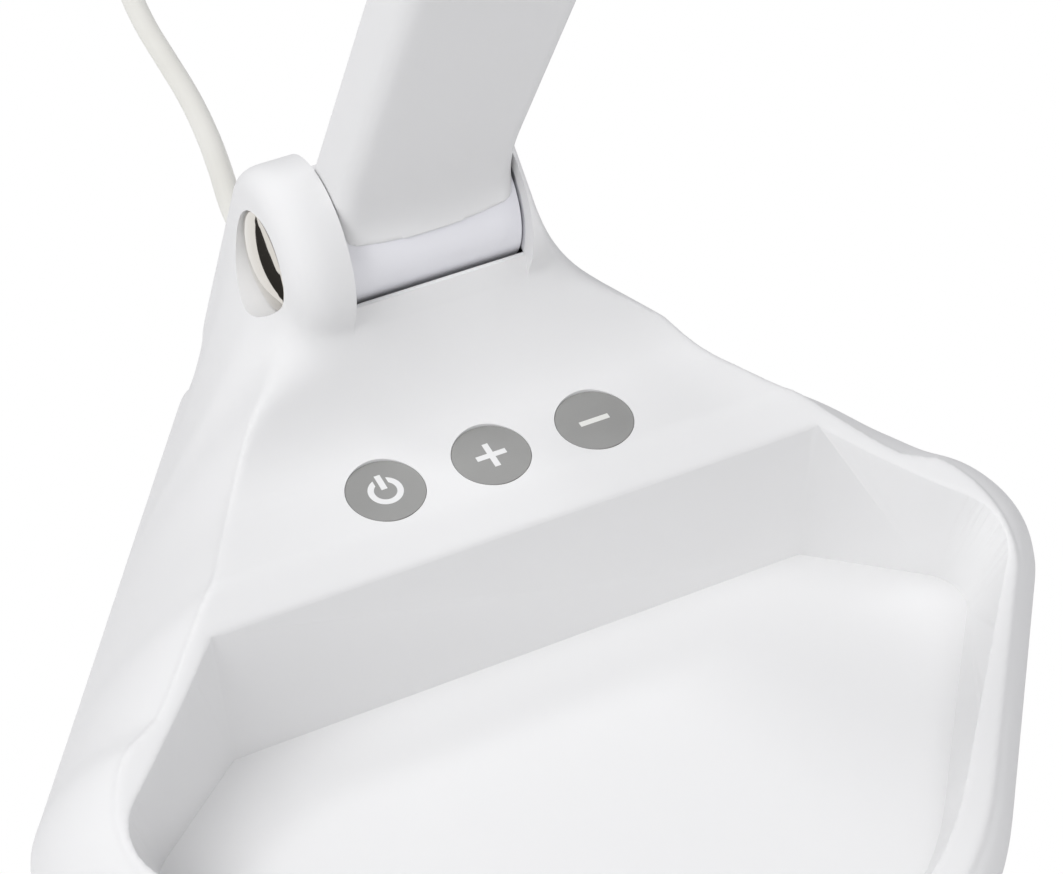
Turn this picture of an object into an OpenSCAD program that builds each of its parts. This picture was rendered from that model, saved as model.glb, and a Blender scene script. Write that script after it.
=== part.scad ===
// Folding LED desk lamp: a heavy tray base with touch keys, a flat folding arm and a light bar.
// Millimetres, +Z up, +X along the hinge axes, the light bar reaches towards -Y.
// The origin is on the surface that the lamp stands on, under the middle of the base.

/* [Base] */
// Half width of the tray's rear wall
tray_rear_half = 56; // [50:1:62]
// Half width of the tray floor where its sides meet
tray_side_half = 80.5; // [76:0.5:84]
// Distance from the tray's rear wall forward to its widest place
tray_side_y = 20; // [17:0.5:23]
// Distance from the tray's rear wall to where its front sides would cross
tray_apex_y = 126.5; // [120:0.5:132]
// Radius of the tray floor's front end
tray_nose_r = 60; // [52:1:66]
// Height of the tray floor above the table
tray_floor_z = 5.5; // [5:0.1:7]
// Y of the tray's rear wall
tray_rear_y = 0.5; // [-2:0.5:3]
// Width of the rim on the tray's rear sides
rim_rear_w = 3.6; // [3:0.1:8]
// Width of the rim on the tray's front sides
rim_front_w = 8; // [6.5:0.5:10]
// Height of the rim at the front
rim_front_z = 11.5; // [10.5:0.5:14]
// How much further the base's foot stands out than the rim at the front
foot_front_w = 3.6; // [1.5:0.1:5]
// Radius of the rim's outer edge at the rear sides
ridge_edge_r = 2.4; // [1:0.5:5]
// Radius of the rim's outer edge at the front
front_edge_r = 1.6; // [1:0.2:3]
// Half width of the base's rear edge
rear_half = 27.8; // [26:0.2:32]
// Y of the base's rear edge
rear_y = 95; // [92:1:100]
// Half width of the base's foot beside its widest place, before rounding
foot_side_half = 101.3; // [96:0.2:104]
// Height of the upright band round the foot
foot_band = 3.4; // [3:0.2:5]
// Thickness of the base's walls
base_wall = 2.4; // [2:0.1:3]
// Thickness of the bottom cover
bottom_t = 2; // [1.6:0.1:2.2]
// Thickness of the non-slip pad
pad_t = 1.2; // [0.8:0.1:1.4]
// Distance of the pad's edge from the base's edge
pad_inset = 12; // [9:1:15]
// Thickness of the ballast plate
ballast_t = 12; // [8:1:14]

/* [Keys] */
// Diameter of a touch key
key_d = 13.84; // [12:0.02:15]
// Distance from one key to the next
key_pitch = 20; // [18:0.5:22]
// Y of the row of keys
key_y = 14; // [13:0.5:16]
// Height of the row of keys above the table
key_z = 42.7; // [41:0.1:45]
// Tilt of the panel that holds the keys
key_tilt = 4; // [2:0.5:6]
// Thickness of a key
key_t = 1.2; // [0.8:0.1:1.8]

/* [Lower hinge] */
// Y of the lower hinge's axis
hinge_y = 47; // [46:0.5:49]
// Height of the lower hinge's axis above the table
hinge_z = 71.5; // [71:0.5:74]
// Radius of the ears round the hinge
ear_r = 16; // [15.5:0.25:17]
// Half width over the outer faces of the ears
ear_half = 27; // [25:0.25:28]
// Radius of the ears' outer edges at the front
ear_front_r = 8; // [4:0.5:9]
// Radius of the ears' outer edges at the back
ear_back_r = 3.5; // [2:0.5:6]
// Thickness of the cheek plate on the inside of each ear
cheek_t = 1.3; // [1:0.1:1.6]
// Radius of the hinge barrel
barrel_r = 12; // [11.5:0.1:12.3]
// Radius of the slot that the barrel turns in
slot_r = 13.8; // [13.6:0.1:14.2]
// Height of the slot's front lip above the table
lip_z = 66.4; // [66:0.2:67.5]
// Diameter of the lower hinge shaft
shaft_d = 6; // [5:0.25:7]
// Diameter of the lower hinge's chrome cap
cap_d = 18; // [16:0.5:19]
// Height of a cap's dome
cap_dome = 1.8; // [1:0.1:2.5]

/* [Arm] */
// Distance from the lower axis to the upper axis
arm_len = 310; // [300:5:340]
// Width of the arm
arm_w = 32.6; // [30:0.2:32.6]
// Thickness of the arm
arm_t = 10.6; // [10:0.1:11.4]
// How far the arm's middle plane lies behind the hinge axes
arm_offset = 2.9; // [2.4:0.1:3.4]
// Lean of the arm towards the front, from upright
arm_lean = 27.3; // [20:0.1:35]
// Thickness of the arm's shells
arm_wall = 2; // [1.6:0.1:2.2]
// Radius of the arm's long edges
arm_edge_r = 3.5; // [2.5:0.1:4]
// Width of the steel core strip
core_w = 22; // [18:0.5:24]
// Thickness of the steel core strip
core_t = 1.6; // [1.2:0.1:1.8]
// Diameter of the wire in the arm
wire_d = 2.4; // [1.8:0.1:2.6]

/* [Elbow] */
// Radius of the fork's ears round the elbow axis
fork_r = 9; // [8.8:0.1:9.6]
// Thickness of each fork ear
fork_ear_t = 6; // [5.5:0.1:6.5]
// Radius of the light bar's knuckle
knuckle_r = 8.6; // [8:0.1:8.7]
// Diameter of the elbow shaft
elbow_shaft_d = 5; // [4:0.25:5]
// Diameter of the elbow's chrome caps
elbow_cap_d = 13; // [12:0.5:14]

/* [Light bar] */
// Distance from the elbow axis to the free end of the light bar
bar_len = 275; // [260:1:280]
// Width of the light bar
bar_w = 38; // [36:0.5:44]
// Thickness of the light bar
bar_t = 11; // [10.5:0.1:12.5]
// Height of the light bar's underside above the elbow axis
bar_lift = 5.8; // [5.6:0.1:6.4]
// Thickness of the light bar's walls
bar_wall = 2; // [1.6:0.1:2.4]
// Width of the lit window
window_w = 30; // [26:0.5:31]
// Number of light-emitting diodes in a row
led_count = 24; // [12:1:30]

/* [Cord] */
// Diameter of the supply cord
cord_d = 5.2; // [5:0.1:5.4]

/* [Hidden] */
$fn = 32;

// Clearances
fit = 0.1;        // between pieces that are assembled and stay put
run = 0.3;        // between pieces that pass each other
shaft_run = 0.05; // radial, between a shaft and the hole it turns in
eps = 0.05;       // overlap that keeps cuts clean

// Colours
WHITE = "#ececee";
KEY_GREY = "#9a9a98";
STEEL = "#9aa0a6";
CHROME = "#d8d8dc";
RUBBER = "#3a3a3c";
BOARD = "#1f6b45";
CHIP = "#26262a";
CORD = "#dedbd4";
MILKY = "#f6f4ec";

// ---------------------------------------------------------------- curves shared by the base
// Arc points in a plane, centre c, radius r, from angle a0 to a1
function arc(c, r, a0, a1, n) = [for (i = [0:n]) c + r * [cos(a0 + (a1 - a0) * i / n),
    sin(a0 + (a1 - a0) * i / n)]];
function mix(a, b, t) = a + (b - a) * t;
function unit(v) = v / norm(v);
function outward(v) = [-v[1], v[0]];
function back_to_front(v) = [for (i = [len(v) - 1:-1:0]) v[i]];
function both_halves(v) = concat(v, [for (p = back_to_front(v)) [-p[0], p[1]]]);

// A corner at p between the ways to a and to b, rounded with radius r
function corner(a, p, b, r, n) =
    let (u = unit(a - p), v = unit(b - p), half = acos(u * v) / 2, d = r / tan(half),
        c = p + unit(u + v) * r / sin(half), s = p + u * d - c, e = p + v * d - c,
        a0 = atan2(s[1], s[0]), da = (atan2(e[1], e[0]) - a0 + 540) % 360 - 180)
    arc(c, r, a0, a0 + da, n);

// Where two lines cross, each given by a point and a direction
function cross_at(p, u, q, v) =
    let (w = q - p, den = u[0] * v[1] - u[1] * v[0]) p + u * (w[0] * v[1] - w[1] * v[0]) / den;

// Right half of the tray floor: rear corner, side corner and the place where the front sides cross
tray_rear = [tray_rear_half, tray_rear_y];
tray_side = [tray_side_half, tray_rear_y - tray_side_y];
tray_apex = [0, tray_rear_y - tray_apex_y];
flare = unit(tray_side - tray_rear);
closing = unit(tray_apex - tray_side);
nose_half = atan2(-closing[0], -closing[1]);
nose_c = tray_apex + [0, tray_nose_r / sin(nose_half)];
side_steps = 7;

// Right half of an outline beside the tray: side corner and round front end, w outside the floor
function beside(rear_p, rear_dir, w, r_side) =
    let (q = tray_side + outward(closing) * w, c = cross_at(rear_p, rear_dir, q, closing))
    concat(corner(rear_p, c, q + closing * 100, r_side, side_steps),
        arc(nose_c, tray_nose_r + w, -nose_half, -90, side_steps));

// The ridge, where the top turns down into the sides, d inside the outer skin
ridge_r = 17;
neck_bow = 8.6;
neck_bow_x = [24, 54];
neck_swell = 2;
neck_swell_x = [24, 74];
function wave(x, a) = x > a[0] && x < a[1] ? sin(180 * (x - a[0]) / (a[1] - a[0])) : 0;
function ridge_y(x, d) = tray_rear[1] + (rim_rear_w - d) / flare[0] - (x - tray_rear[0])
    * flare[1] / -flare[0] + neck_bow * wave(x, neck_bow_x) + neck_swell * pow(wave(x, neck_swell_x), 2);
function ridge_side(d) = beside([ear_half - d, ridge_y(ear_half - d, d)], flare, rim_front_w - d,
    ridge_r);

// The foot, where the sides meet the bottom, d inside the outer skin
foot_dir = unit([foot_side_half, tray_side[1] + 6.7] - [rear_half, rear_y]);
foot_r = 20;
foot_rear_r = 8;
function foot_rear(d) = cross_at([0, rear_y - d], [1, 0],
    [rear_half, rear_y] - outward(foot_dir) * d, foot_dir);
function foot_line(d) = concat(
    corner([0, rear_y - d], foot_rear(d), foot_rear(d) + foot_dir * 100, foot_rear_r - d / 2, 4),
    beside(foot_rear(d), foot_dir, rim_front_w + foot_front_w - d, foot_r - d));

// Heights along the top: rise to the slot's lip, flat key panel, fall to the front rim
panel_slope = tan(key_tilt);
rise_y = key_y + 1.5;
lip_y = hinge_y - sqrt(slot_r * slot_r - (hinge_z - lip_z) * (hinge_z - lip_z));
rise_k = (lip_z - key_z - panel_slope * (lip_y - key_y)) / pow(lip_y - rise_y, 3);
function panel_z(y) = key_z + panel_slope * (min(y, lip_y) - key_y)
    + (y > rise_y ? rise_k * pow(min(y, lip_y) - rise_y, 3) : 0);
nose_y = nose_c[1] - tray_nose_r - rim_front_w;
fall_y = key_y - 6.5;
fall = [[fall_y, panel_z(fall_y)], [fall_y - 5.5, panel_z(fall_y - 5.5)],
    [fall_y - 19.5, rim_front_z + 2.5], [nose_y, rim_front_z]];
function bezier(p, t) = p[0] * pow(1 - t, 3) + p[1] * 3 * pow(1 - t, 2) * t
    + p[2] * 3 * (1 - t) * t * t + p[3] * pow(t, 3);
fall_points = [for (i = [0:24]) bezier(fall, i / 24)];
function top_z(y) = y >= fall_y ? panel_z(y) : lookup(y, fall_points);

// ---------------------------------------------------------------- the base's skin
cover_z = pad_t;
band_z = cover_z + foot_band;
back_run = [hinge_y - rear_y, hinge_z - band_z];
back_turn = asin(ear_r / norm(back_run));
back_dir = [unit(back_run)[0] * cos(back_turn) + unit(back_run)[1] * sin(back_turn),
    unit(back_run)[1] * cos(back_turn) - unit(back_run)[0] * sin(back_turn)];
ear_a0 = atan2(back_dir[1], back_dir[0]) - 90;
ear_a1 = 211;
ear_back_y = hinge_y + ear_r * cos(ear_a0);
ear_back_z = hinge_z + ear_r * sin(ear_a0);
foot_at_ear = [79, 54];
// The rear slope, d inside the skin
function back_at(z, d) = rear_y + back_dir[0] * (z - band_z) / back_dir[1] - d / back_dir[1];

// Y of the foot that belongs to a ridge point in front of the ears
function foot_y(y) = y + lookup(y, [[nose_y, 0], [-60, 1.5], [-28, 5], [5, 13], [33, 20.5]]);
neck_form = 0.42;
neck_front_form = 0.6;
function side_form(y) = lookup(y, [[nose_y, 0.85], [-20, 0.85], [10, 0.65], [35, neck_front_form]]);
function half_at(line, y) = lookup(y, [for (p = line) [p[1], p[0]]]);

// A station is [edge start, edge corner, edge end, foot, form]: the top rounds down into the side
// between edge start and edge end; form 0 is a hollow side and 1 a full one
function station(start, edge, end, fy, form, d) = let (f = min(rear_y - d - 0.02, fy))
    [start, edge, end, [max(end[0] + 0.6, half_at(foot_line(d), f)), f, min(band_z, end[2])], form];
function top_r(a) = lookup(a,
    [[ear_a0, ear_back_r], [60, ear_back_r + 1], [110, ear_front_r], [ear_a1, ear_front_r]]);
function rear_stations(d, top) = [for (z = [band_z, 8, 14, 22, 32, 44, 56, 68]) if (z < top - 1)
    let (y = back_at(z, d), share = (z - band_z) / (ear_back_z - band_z),
        r = 0.4 + (ear_back_r - 0.4) * share,
        x = ear_half - d - 7 * pow(max(0, 1 - (z - band_z) / 26), 2), in = min(r, (z - band_z) / 2))
    station([x - r, y, z], [x, y, z], [x, y - in * back_dir[1], z + in * back_dir[0]],
        mix(rear_y - d, foot_at_ear[0], share), mix(0.4, neck_form, share), d)];
ear_stations = [for (i = [0:16]) let (a = mix(ear_a0, ear_a1, i / 16), way = [0, cos(a), sin(a)],
    p = [ear_half, hinge_y, hinge_z] + ear_r * way, r = top_r(a))
    station(p - [r, 0, 0], p, p - r * way, mix(foot_at_ear[0], foot_at_ear[1], i / 16),
        mix(neck_form, neck_front_form, i / 16), 0)];
// Stations in front of the ears, at edge corner p with the outward way o in plan, edge radius r and the
// side leaving the edge at the angle a from level
function front_station(p, o, r, d, top, forward = 0, a = -90) =
    let (q = p - o * r, c = min(top, top_z(p[1]) - d))
    station([q[0], q[1], min(top, top_z(q[1]) - d)], [p[0], p[1], c],
        [p[0], p[1] + r * cos(a), c + r * sin(a)], foot_y(p[1]) - forward,
        side_form(p[1]) - (d > 0 ? 0.15 : 0), d);
flare_x = [1, 2.5, 4.5, 7, 10, 14, 19, 24, 29, 34, 39, 44];
turn_x = 14;
flare_forward = 3;
function flare_stations(d, top) = [for (x = flare_x) let (xx = ear_half - d + x,
    t = min(1, x / turn_x), turn = t * t * (3 - 2 * t))
    front_station([xx, ridge_y(xx, d)], unit(mix([1, 0], outward(flare), turn)),
        mix(ear_front_r - d, ridge_edge_r, turn), d, top,
        flare_forward * sin(180 * x / flare_x[len(flare_x) - 1]),
        d > 0 ? -90 : mix(ear_a1 - 180, -90, turn))];
function side_stations(d) = let (line = ridge_side(d), n = len(line) - 1)
    [for (i = [0:n - 1]) front_station(line[i], outward(unit(line[i + 1] - line[max(0, i - 1)])),
        mix(ridge_edge_r, front_edge_r, min(1, i / side_steps)), d, 200)];
edge_steps = 3;
skin_steps = 6;
function curve3(a, b, c, t) = a * pow(1 - t, 2) + b * 2 * t * (1 - t) + c * t * t;

// One point on the side; t runs from 0 at the foot to 1 at the edge's end
function side_point(s, t) = let (
    h = mix(pow(sin(90 * t), 0.85), 1 - cos(90 * t), s[4]),
    v = mix(1 - pow(cos(90 * t), 0.85), sin(90 * t), s[4]), f = s[3], r = s[2])
    [mix(f[0], r[0], h), mix(f[1], r[1], h), mix(f[2], r[2], v)];
function flip(p) = [-p[0], p[1], p[2]];
function right_side(s, z0) = concat([[s[3][0], s[3][1], z0]],
    [for (k = [0:skin_steps]) side_point(s, k / skin_steps)],
    [for (k = [1:edge_steps]) curve3(s[2], s[1], s[0], k / edge_steps)]);

// A closed solid through rings that run from the left foot over the top to the right foot
module loft(stations, nose, reach, z0) {
    rings = [for (s = stations) let (side = right_side(s, z0))
        concat([for (p = side) flip(p)], back_to_front(side))];
    n = len(rings);
    m = len(rings[0]);
    half = m / 2;
    last = (n - 1) * m;
    points = concat([for (r = rings) each r], [nose, [nose[0], nose[1] - reach, z0]]);
    faces = concat(
        [for (i = [0:n - 2], j = [0:m - 2]) [i * m + j, i * m + j + 1, (i + 1) * m + j + 1]],
        [for (i = [0:n - 2], j = [0:m - 2]) [i * m + j, (i + 1) * m + j + 1, (i + 1) * m + j]],
        [for (i = [0:n - 2]) [i * m, (i + 1) * m, (i + 1) * m + m - 1]],
        [for (i = [0:n - 2]) [i * m, (i + 1) * m + m - 1, i * m + m - 1]],
        [[for (j = [m - 1:-1:0]) j]],
        [for (j = [0:half - 2]) [last + j, last + j + 1, n * m + 1]],
        [for (j = [half:m - 2]) [last + j, last + j + 1, n * m + 1]],
        [[last + half - 1, last + half, n * m], [last + half - 1, n * m, n * m + 1],
            [last + half, n * m + 1, n * m], [last, n * m + 1, last + m - 1]]);
    polyhedron(points, faces, convexity = 8);
}

nose_foot = foot_front_w + front_edge_r;
module skin() loft(concat(rear_stations(0, ear_back_z), ear_stations, flare_stations(0, 200),
    side_stations(0)), [0, nose_y + front_edge_r, rim_front_z], nose_foot, cover_z);

// The right side of the neck is scooped away along one slanting line
scoop_dir = [51.1, 0, -26.6];
scoop_p = [17.2, 36.8, 83.6];
scoop_r = 21;
module neck_scoop() translate(scoop_p) rotate(scoop_dir) translate([0, 0, -60]) linear_extrude(180)
    polygon(concat([[-16, 45]], corner([-1.8, 5], [5.4, -15], [24.6, -26.4], scoop_r, 8),
        [[66, -48], [66, 45]]));

hollow_top = 50;
module hollow() loft(concat(rear_stations(base_wall, hollow_top),
    [for (y = [back_at(hollow_top, base_wall) - 2, 66, 56, 46, 38]) let (x = ear_half - base_wall)
        station([x - 2, y, hollow_top], [x, y, hollow_top], [x, y, hollow_top - 2],
            mix(54, 80, (y - 38) / 34), neck_form, base_wall)],
    flare_stations(base_wall, hollow_top), side_stations(base_wall)),
    [0, nose_y + front_edge_r + base_wall, rim_front_z - base_wall], nose_foot, cover_z - 1);

// ---------------------------------------------------------------- shared small forms
module rod_x(r, x0, x1) translate([x0, 0, 0]) rotate([0, 90, 0]) cylinder(r = r, h = x1 - x0);
module at_hinge() translate([0, hinge_y, hinge_z]) children();
module in_arm() at_hinge() rotate([arm_lean, 0, 0]) children();
elbow = [0, hinge_y - arm_len * sin(arm_lean), hinge_z + arm_len * cos(arm_lean)];
module in_bar() translate(elbow) children();
module block(a, b) translate([min(a[0], b[0]), min(a[1], b[1]), min(a[2], b[2])])
    cube([abs(b[0] - a[0]), abs(b[1] - a[1]), abs(b[2] - a[2])]);

// Screw with a thin flat head, its point along +Z and the head's underside at z 0
screw_fn = 16;
module screw(d, h, head_d, head_h, $fn = screw_fn) {
    translate([0, 0, -head_h / 2]) cylinder(d = d, h = h + head_h / 2);
    translate([0, 0, -head_h]) cylinder(d = head_d, h = head_h);
}

// ---------------------------------------------------------------- base
base_screw_d = 3;
base_screw_head = 6;
base_screw_head_h = 1;
cover_screws = [[46, 14], [-46, 14], [15, 72], [-15, 72]];
ballast_screws = [[30, 22], [-30, 22], [18, 50], [-18, 50]];
base_screw_len = 9;
boss_d = 8;
ballast_z = cover_z + bottom_t;
board_gap = 1.6;
sensor_d = 7;
board_t = 1.6;
board_half = [key_pitch + sensor_d / 2 + 2, 9.5];
board_hole_x = key_pitch / 2;
panel_t = key_t + 1.4;
cord_exit_z = 9;
rebate = 0.6;
relief_root_r = 5;

module on_panel(x) translate([x, key_y, key_z]) rotate([key_tilt, 0, 0]) children();

// Tray, floor at z 0 of the frame; grow moves every wall outwards
module tray_form(grow, z0) {
    function outline(wr, wf, r) = let (c = cross_at([0, tray_rear_y + grow], [1, 0],
        tray_rear + outward(flare) * (wr + grow), flare))
        both_halves(concat([c], beside(c, flare, wf + grow, r + grow)));
    hull() {
        translate([0, 0, z0]) linear_extrude(eps) polygon(outline(0, 0, 8));
        translate([0, 0, key_z + 4]) linear_extrude(eps) polygon(outline(1.4, 15, 12));
    }
}

cheek_in = arm_w / 2 + run;
cheek_r = barrel_r + 0.8;
cheek_out = cheek_in + cheek_t;
cap_seat = 1.4;
nut_r = 4.6;
nut_t = 2;
shaft_head_r = 5.2;
shaft_head_t = 3;
ear_seat_x = ear_half - cap_seat - shaft_head_t;
slot_back_z = hinge_z + 4;
module slot() {
    at_hinge() rod_x(slot_r, -cheek_in, cheek_in);
    block([-cheek_in, hinge_y - ear_r * 2, lip_z], [cheek_in, hinge_y, hinge_z + ear_r * 2]);
    block([-cheek_in, hinge_y - 1, slot_back_z], [cheek_in, hinge_y + ear_r * 2, hinge_z + ear_r * 2]);
}

// The stepped bore in the ears, from the left cap's seat to the nut's blind pocket in the right ear
module ear_bore() {
    steps = [[0, -ear_half - 10], [cap_d / 2 + fit, -ear_half - 10], [cap_d / 2 + fit, cap_seat - ear_half],
        [shaft_head_r + fit, cap_seat - ear_half], [shaft_head_r + fit, -ear_seat_x],
        [shaft_d / 2 + fit, -ear_seat_x], [shaft_d / 2 + fit, -cheek_out], [cheek_r + fit, -cheek_out],
        [cheek_r + fit, cheek_out], [nut_r + fit, cheek_out], [nut_r + fit, cheek_out + nut_t + run],
        [0, cheek_out + nut_t + run]];
    at_hinge() rotate([0, 90, 0]) rotate_extrude() polygon(steps);
}

// The room under the top, less what stands in it
module inside() difference() {
    hollow();
    tray_form(base_wall - 0.4, tray_floor_z - bottom_t);
    for (p = cover_screws) translate([p[0], p[1], ballast_z]) cylinder(d = boss_d, h = 60);
    on_panel(0) for (s = [-1, 1]) translate([s * board_hole_x, 0, -panel_t - board_gap])
        cylinder(d = 6, h = 10);
    on_panel(0) block([-tray_rear_half, -14, -panel_t], [tray_rear_half, 14, 5]);
    translate([0, rear_y - 12, cord_exit_z]) rotate([-90, 0, 0]) cylinder(r = relief_root_r + 3,
        h = 20);
}
module top_form() difference() {
    skin();
    neck_scoop();
    tray_form(0, tray_floor_z);
    slot();
}
module base_top_cover() color(WHITE) difference() {
    top_form();
    inside();
    ear_bore();
    translate([0, 0, cover_z - 1]) linear_extrude(bottom_t + 1)
        polygon(both_halves(foot_line(base_wall - rebate)));
    for (i = [-1:1]) on_panel(i * key_pitch) translate([0, 0, -key_t])
        cylinder(d = key_d + 2 * fit, h = 10);
    for (p = cover_screws) translate([p[0], p[1], 0]) cylinder(d = base_screw_d, h = base_screw_len + 3);
    on_panel(0) for (s = [-1, 1]) translate([s * board_hole_x, 0, -panel_t - board_gap - eps])
        cylinder(d = 2, h = 3.4);
    translate([0, rear_y - 20, cord_exit_z]) rotate([-90, 0, 0]) cylinder(r = relief_root_r - 1 + fit,
        h = 30);
}

module base_bottom_cover() color(WHITE) difference() {
    translate([0, 0, cover_z]) linear_extrude(bottom_t)
        polygon(both_halves(foot_line(base_wall - rebate + fit)));
    for (p = concat(cover_screws, ballast_screws)) translate([p[0], p[1], cover_z - eps]) {
        cylinder(d = base_screw_head + 2 * fit, h = base_screw_head_h + eps, $fn = screw_fn);
        cylinder(d = base_screw_d + 2 * fit, h = 10, $fn = screw_fn);
    }
}

module non_slip_pad() color(RUBBER) linear_extrude(pad_t) polygon(both_halves(foot_line(pad_inset)));

ballast_outline = [[49, 7], [49, 20], [28, 61]];
module ballast_plate() color(STEEL) difference() {
    translate([0, 0, ballast_z]) linear_extrude(ballast_t) polygon(both_halves(ballast_outline));
    for (p = ballast_screws) translate([p[0], p[1], ballast_z - eps])
        cylinder(d = base_screw_d, h = base_screw_len + 2);
    for (p = cover_screws) translate([p[0], p[1], ballast_z - eps])
        cylinder(d = boss_d + 2 * run, h = ballast_t + 1);
}

module base_screws() color(STEEL) for (p = concat(cover_screws, ballast_screws))
    translate([p[0], p[1], cover_z + base_screw_head_h])
        screw(base_screw_d, base_screw_len, base_screw_head, base_screw_head_h);

board_top = -panel_t - board_gap;
module control_board() color(BOARD) on_panel(0) difference() {
    block([-board_half[0], -board_half[1], board_top - board_t], [board_half[0], board_half[1], board_top]);
    for (s = [-1, 1]) translate([s * board_hole_x, 0, board_top - 5]) cylinder(d = 2.4, h = 10);
}
module control_chip() color(CHIP) on_panel(0)
    block([-5, -5, board_top - board_t - 1.4], [5, 5, board_top - board_t]);
module board_screws() color(STEEL) on_panel(0) for (s = [-1, 1])
    translate([s * board_hole_x, 0, board_top - board_t]) screw(2, 4.4, 4, 1.2);
module touch_sensor_pads() color(CHROME) for (i = [-1:1]) on_panel(i * key_pitch)
    translate([0, 0, board_top]) cylinder(d = sensor_d, h = board_gap - run);

// A key's disc, its face flush with the panel
module key_disc() translate([0, 0, -key_t]) cylinder(d = key_d, h = key_t);
sign_w = 1.1;
sign_len = 5.6;
sign_depth = 0.2;
module sign_bar(len) translate([-len / 2, -sign_w / 2, -sign_depth]) cube([len, sign_w, 1]);
module touch_key_power() color(KEY_GREY) on_panel(-key_pitch) difference() {
    key_disc();
    translate([0, 0, -sign_depth]) difference() {
        cylinder(r = 3.1, h = 1);
        translate([0, 0, -1]) cylinder(r = 3.1 - sign_w, h = 3);
        translate([-1.2, 0, -1]) cube([2.4, 5, 3]);
    }
    translate([-sign_w / 2, 0.4, -sign_depth]) cube([sign_w, 3.4, 1]);
}
module touch_key_plus() color(KEY_GREY) on_panel(0) difference() {
    key_disc();
    sign_bar(sign_len);
    rotate([0, 0, 90]) sign_bar(sign_len);
}
module touch_key_minus() color(KEY_GREY) on_panel(key_pitch) difference() {
    key_disc();
    sign_bar(sign_len);
}

// ---------------------------------------------------------------- lower hinge
module cheek() difference() {
    rod_x(cheek_r, cheek_in, cheek_out);
    rod_x(shaft_d / 2 + fit, 0, ear_half);
}
module hinge_cheek_right() color(WHITE) at_hinge() cheek();
module hinge_cheek_left() color(WHITE) at_hinge() mirror([1, 0, 0]) cheek();

module lower_hinge_shaft() color(STEEL) at_hinge() {
    rod_x(shaft_d / 2, -ear_seat_x - eps, cheek_out + nut_t);
    rod_x(shaft_head_r, -ear_seat_x - shaft_head_t + 0.2, -ear_seat_x);
}
module lower_hinge_nut() color(STEEL) at_hinge() difference() {
    rod_x(nut_r, cheek_out, cheek_out + nut_t);
    rod_x(shaft_d / 2 + 0.01, 0, ear_half);
}
washer_t = run;
module washer(x, r, bore_r) difference() {
    rod_x(r, x, x + washer_t);
    rod_x(bore_r, x - 1, x + 2);
}
module lower_friction_washers() color(STEEL) at_hinge() for (s = [0, 1]) mirror([s, 0, 0])
    washer(arm_w / 2, 8, shaft_d / 2 + shaft_run);

// A chrome cap: flat seat and a shallow dome, seat at x 0
module cap(d, seat, dome) {
    r = d / 2;
    ball = (r * r + dome * dome) / (2 * dome);
    half = asin(r / ball);
    rotate([0, 90, 0]) rotate_extrude() polygon(concat([[0, 0], [r, 0]],
        arc([0, seat + dome - ball], ball, 90 - half, 90 - half / 4, 2), [[0, seat + dome]]));
}
module lower_cap_left() color(CHROME) at_hinge() mirror([1, 0, 0])
    translate([ear_half - cap_seat, 0, 0]) cap(cap_d, cap_seat, cap_dome);

// ---------------------------------------------------------------- arm
// In the arm's own frame z runs along it and y points behind it
front_y = arm_offset - arm_t / 2;
rear_face_y = arm_offset + arm_t / 2;
shell_top = arm_len - 24;
tongue_y = front_y + arm_wall + 0.4;
tongue_t = 3;
wire_x = 7;
strip_y = tongue_y + tongue_t;
strip_z = [14, arm_len - 28];
core_screw_z = [20, 30, arm_len - 44, arm_len - 34];
module lower_hinge_barrel() color(WHITE) in_arm() difference() {
    union() {
        rod_x(barrel_r, -arm_w / 2, arm_w / 2);
        block([-core_w / 2, tongue_y, 0], [core_w / 2, strip_y, 36]);
    }
    rod_x(shaft_d / 2 + shaft_run, -arm_w, arm_w);
    for (z = [core_screw_z[0], core_screw_z[1]]) translate([0, strip_y + eps, z]) rotate([90, 0, 0])
        cylinder(d = 3, h = tongue_t + 1);
    translate([wire_x, tongue_y + 1, 6]) cylinder(d = wire_d + 2 * run, h = 40);
}

// Bar section between x -w/2 and w/2, along z, its front edges rounded
module soft_bar(w, y0, y1, z0, z1, r) translate([0, 0, z0]) linear_extrude(z1 - z0) {
    for (x = [-w / 2 + r, w / 2 - r]) translate([x, y0 + r]) circle(r = r);
    translate([-w / 2 + r, y0]) square([w - 2 * r, r * 2]);
    translate([-w / 2, y0 + r]) square([w, y1 - y0 - r]);
}
module arm_front_shell() color(WHITE) in_arm() difference() {
    soft_bar(arm_w, front_y, rear_face_y, 0, shell_top, arm_edge_r);
    block([-arm_w / 2 + arm_wall, front_y + arm_wall, -1],
        [arm_w / 2 - arm_wall, rear_face_y + 1, shell_top + 1]);
    rod_x(barrel_r + fit, -arm_w, arm_w);
    block([-arm_w, -20, -20], [arm_w, 20, 2]);
}
module arm_rear_cover() color(WHITE) in_arm() difference() {
    block([-arm_w / 2 + arm_wall + fit, rear_face_y - arm_wall, 0],
        [arm_w / 2 - arm_wall - fit, rear_face_y, shell_top]);
    rod_x(barrel_r + fit, -arm_w, arm_w);
}
module arm_core_strip() color(STEEL) in_arm() difference() {
    block([-core_w / 2, strip_y, strip_z[0]], [core_w / 2, strip_y + core_t, strip_z[1]]);
    for (z = core_screw_z) translate([0, strip_y + 10, z]) rotate([90, 0, 0]) cylinder(d = 3.2, h = 20);
}
module arm_core_screws() color(STEEL) in_arm() for (z = core_screw_z)
    translate([0, strip_y + core_t, z]) rotate([90, 0, 0]) screw(3, core_t + tongue_t, 5.4, 1.2);
module arm_wire() color(CHIP) in_arm() translate([wire_x, tongue_y + wire_d / 2, 8])
    cylinder(d = wire_d, h = arm_len - 52);

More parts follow.
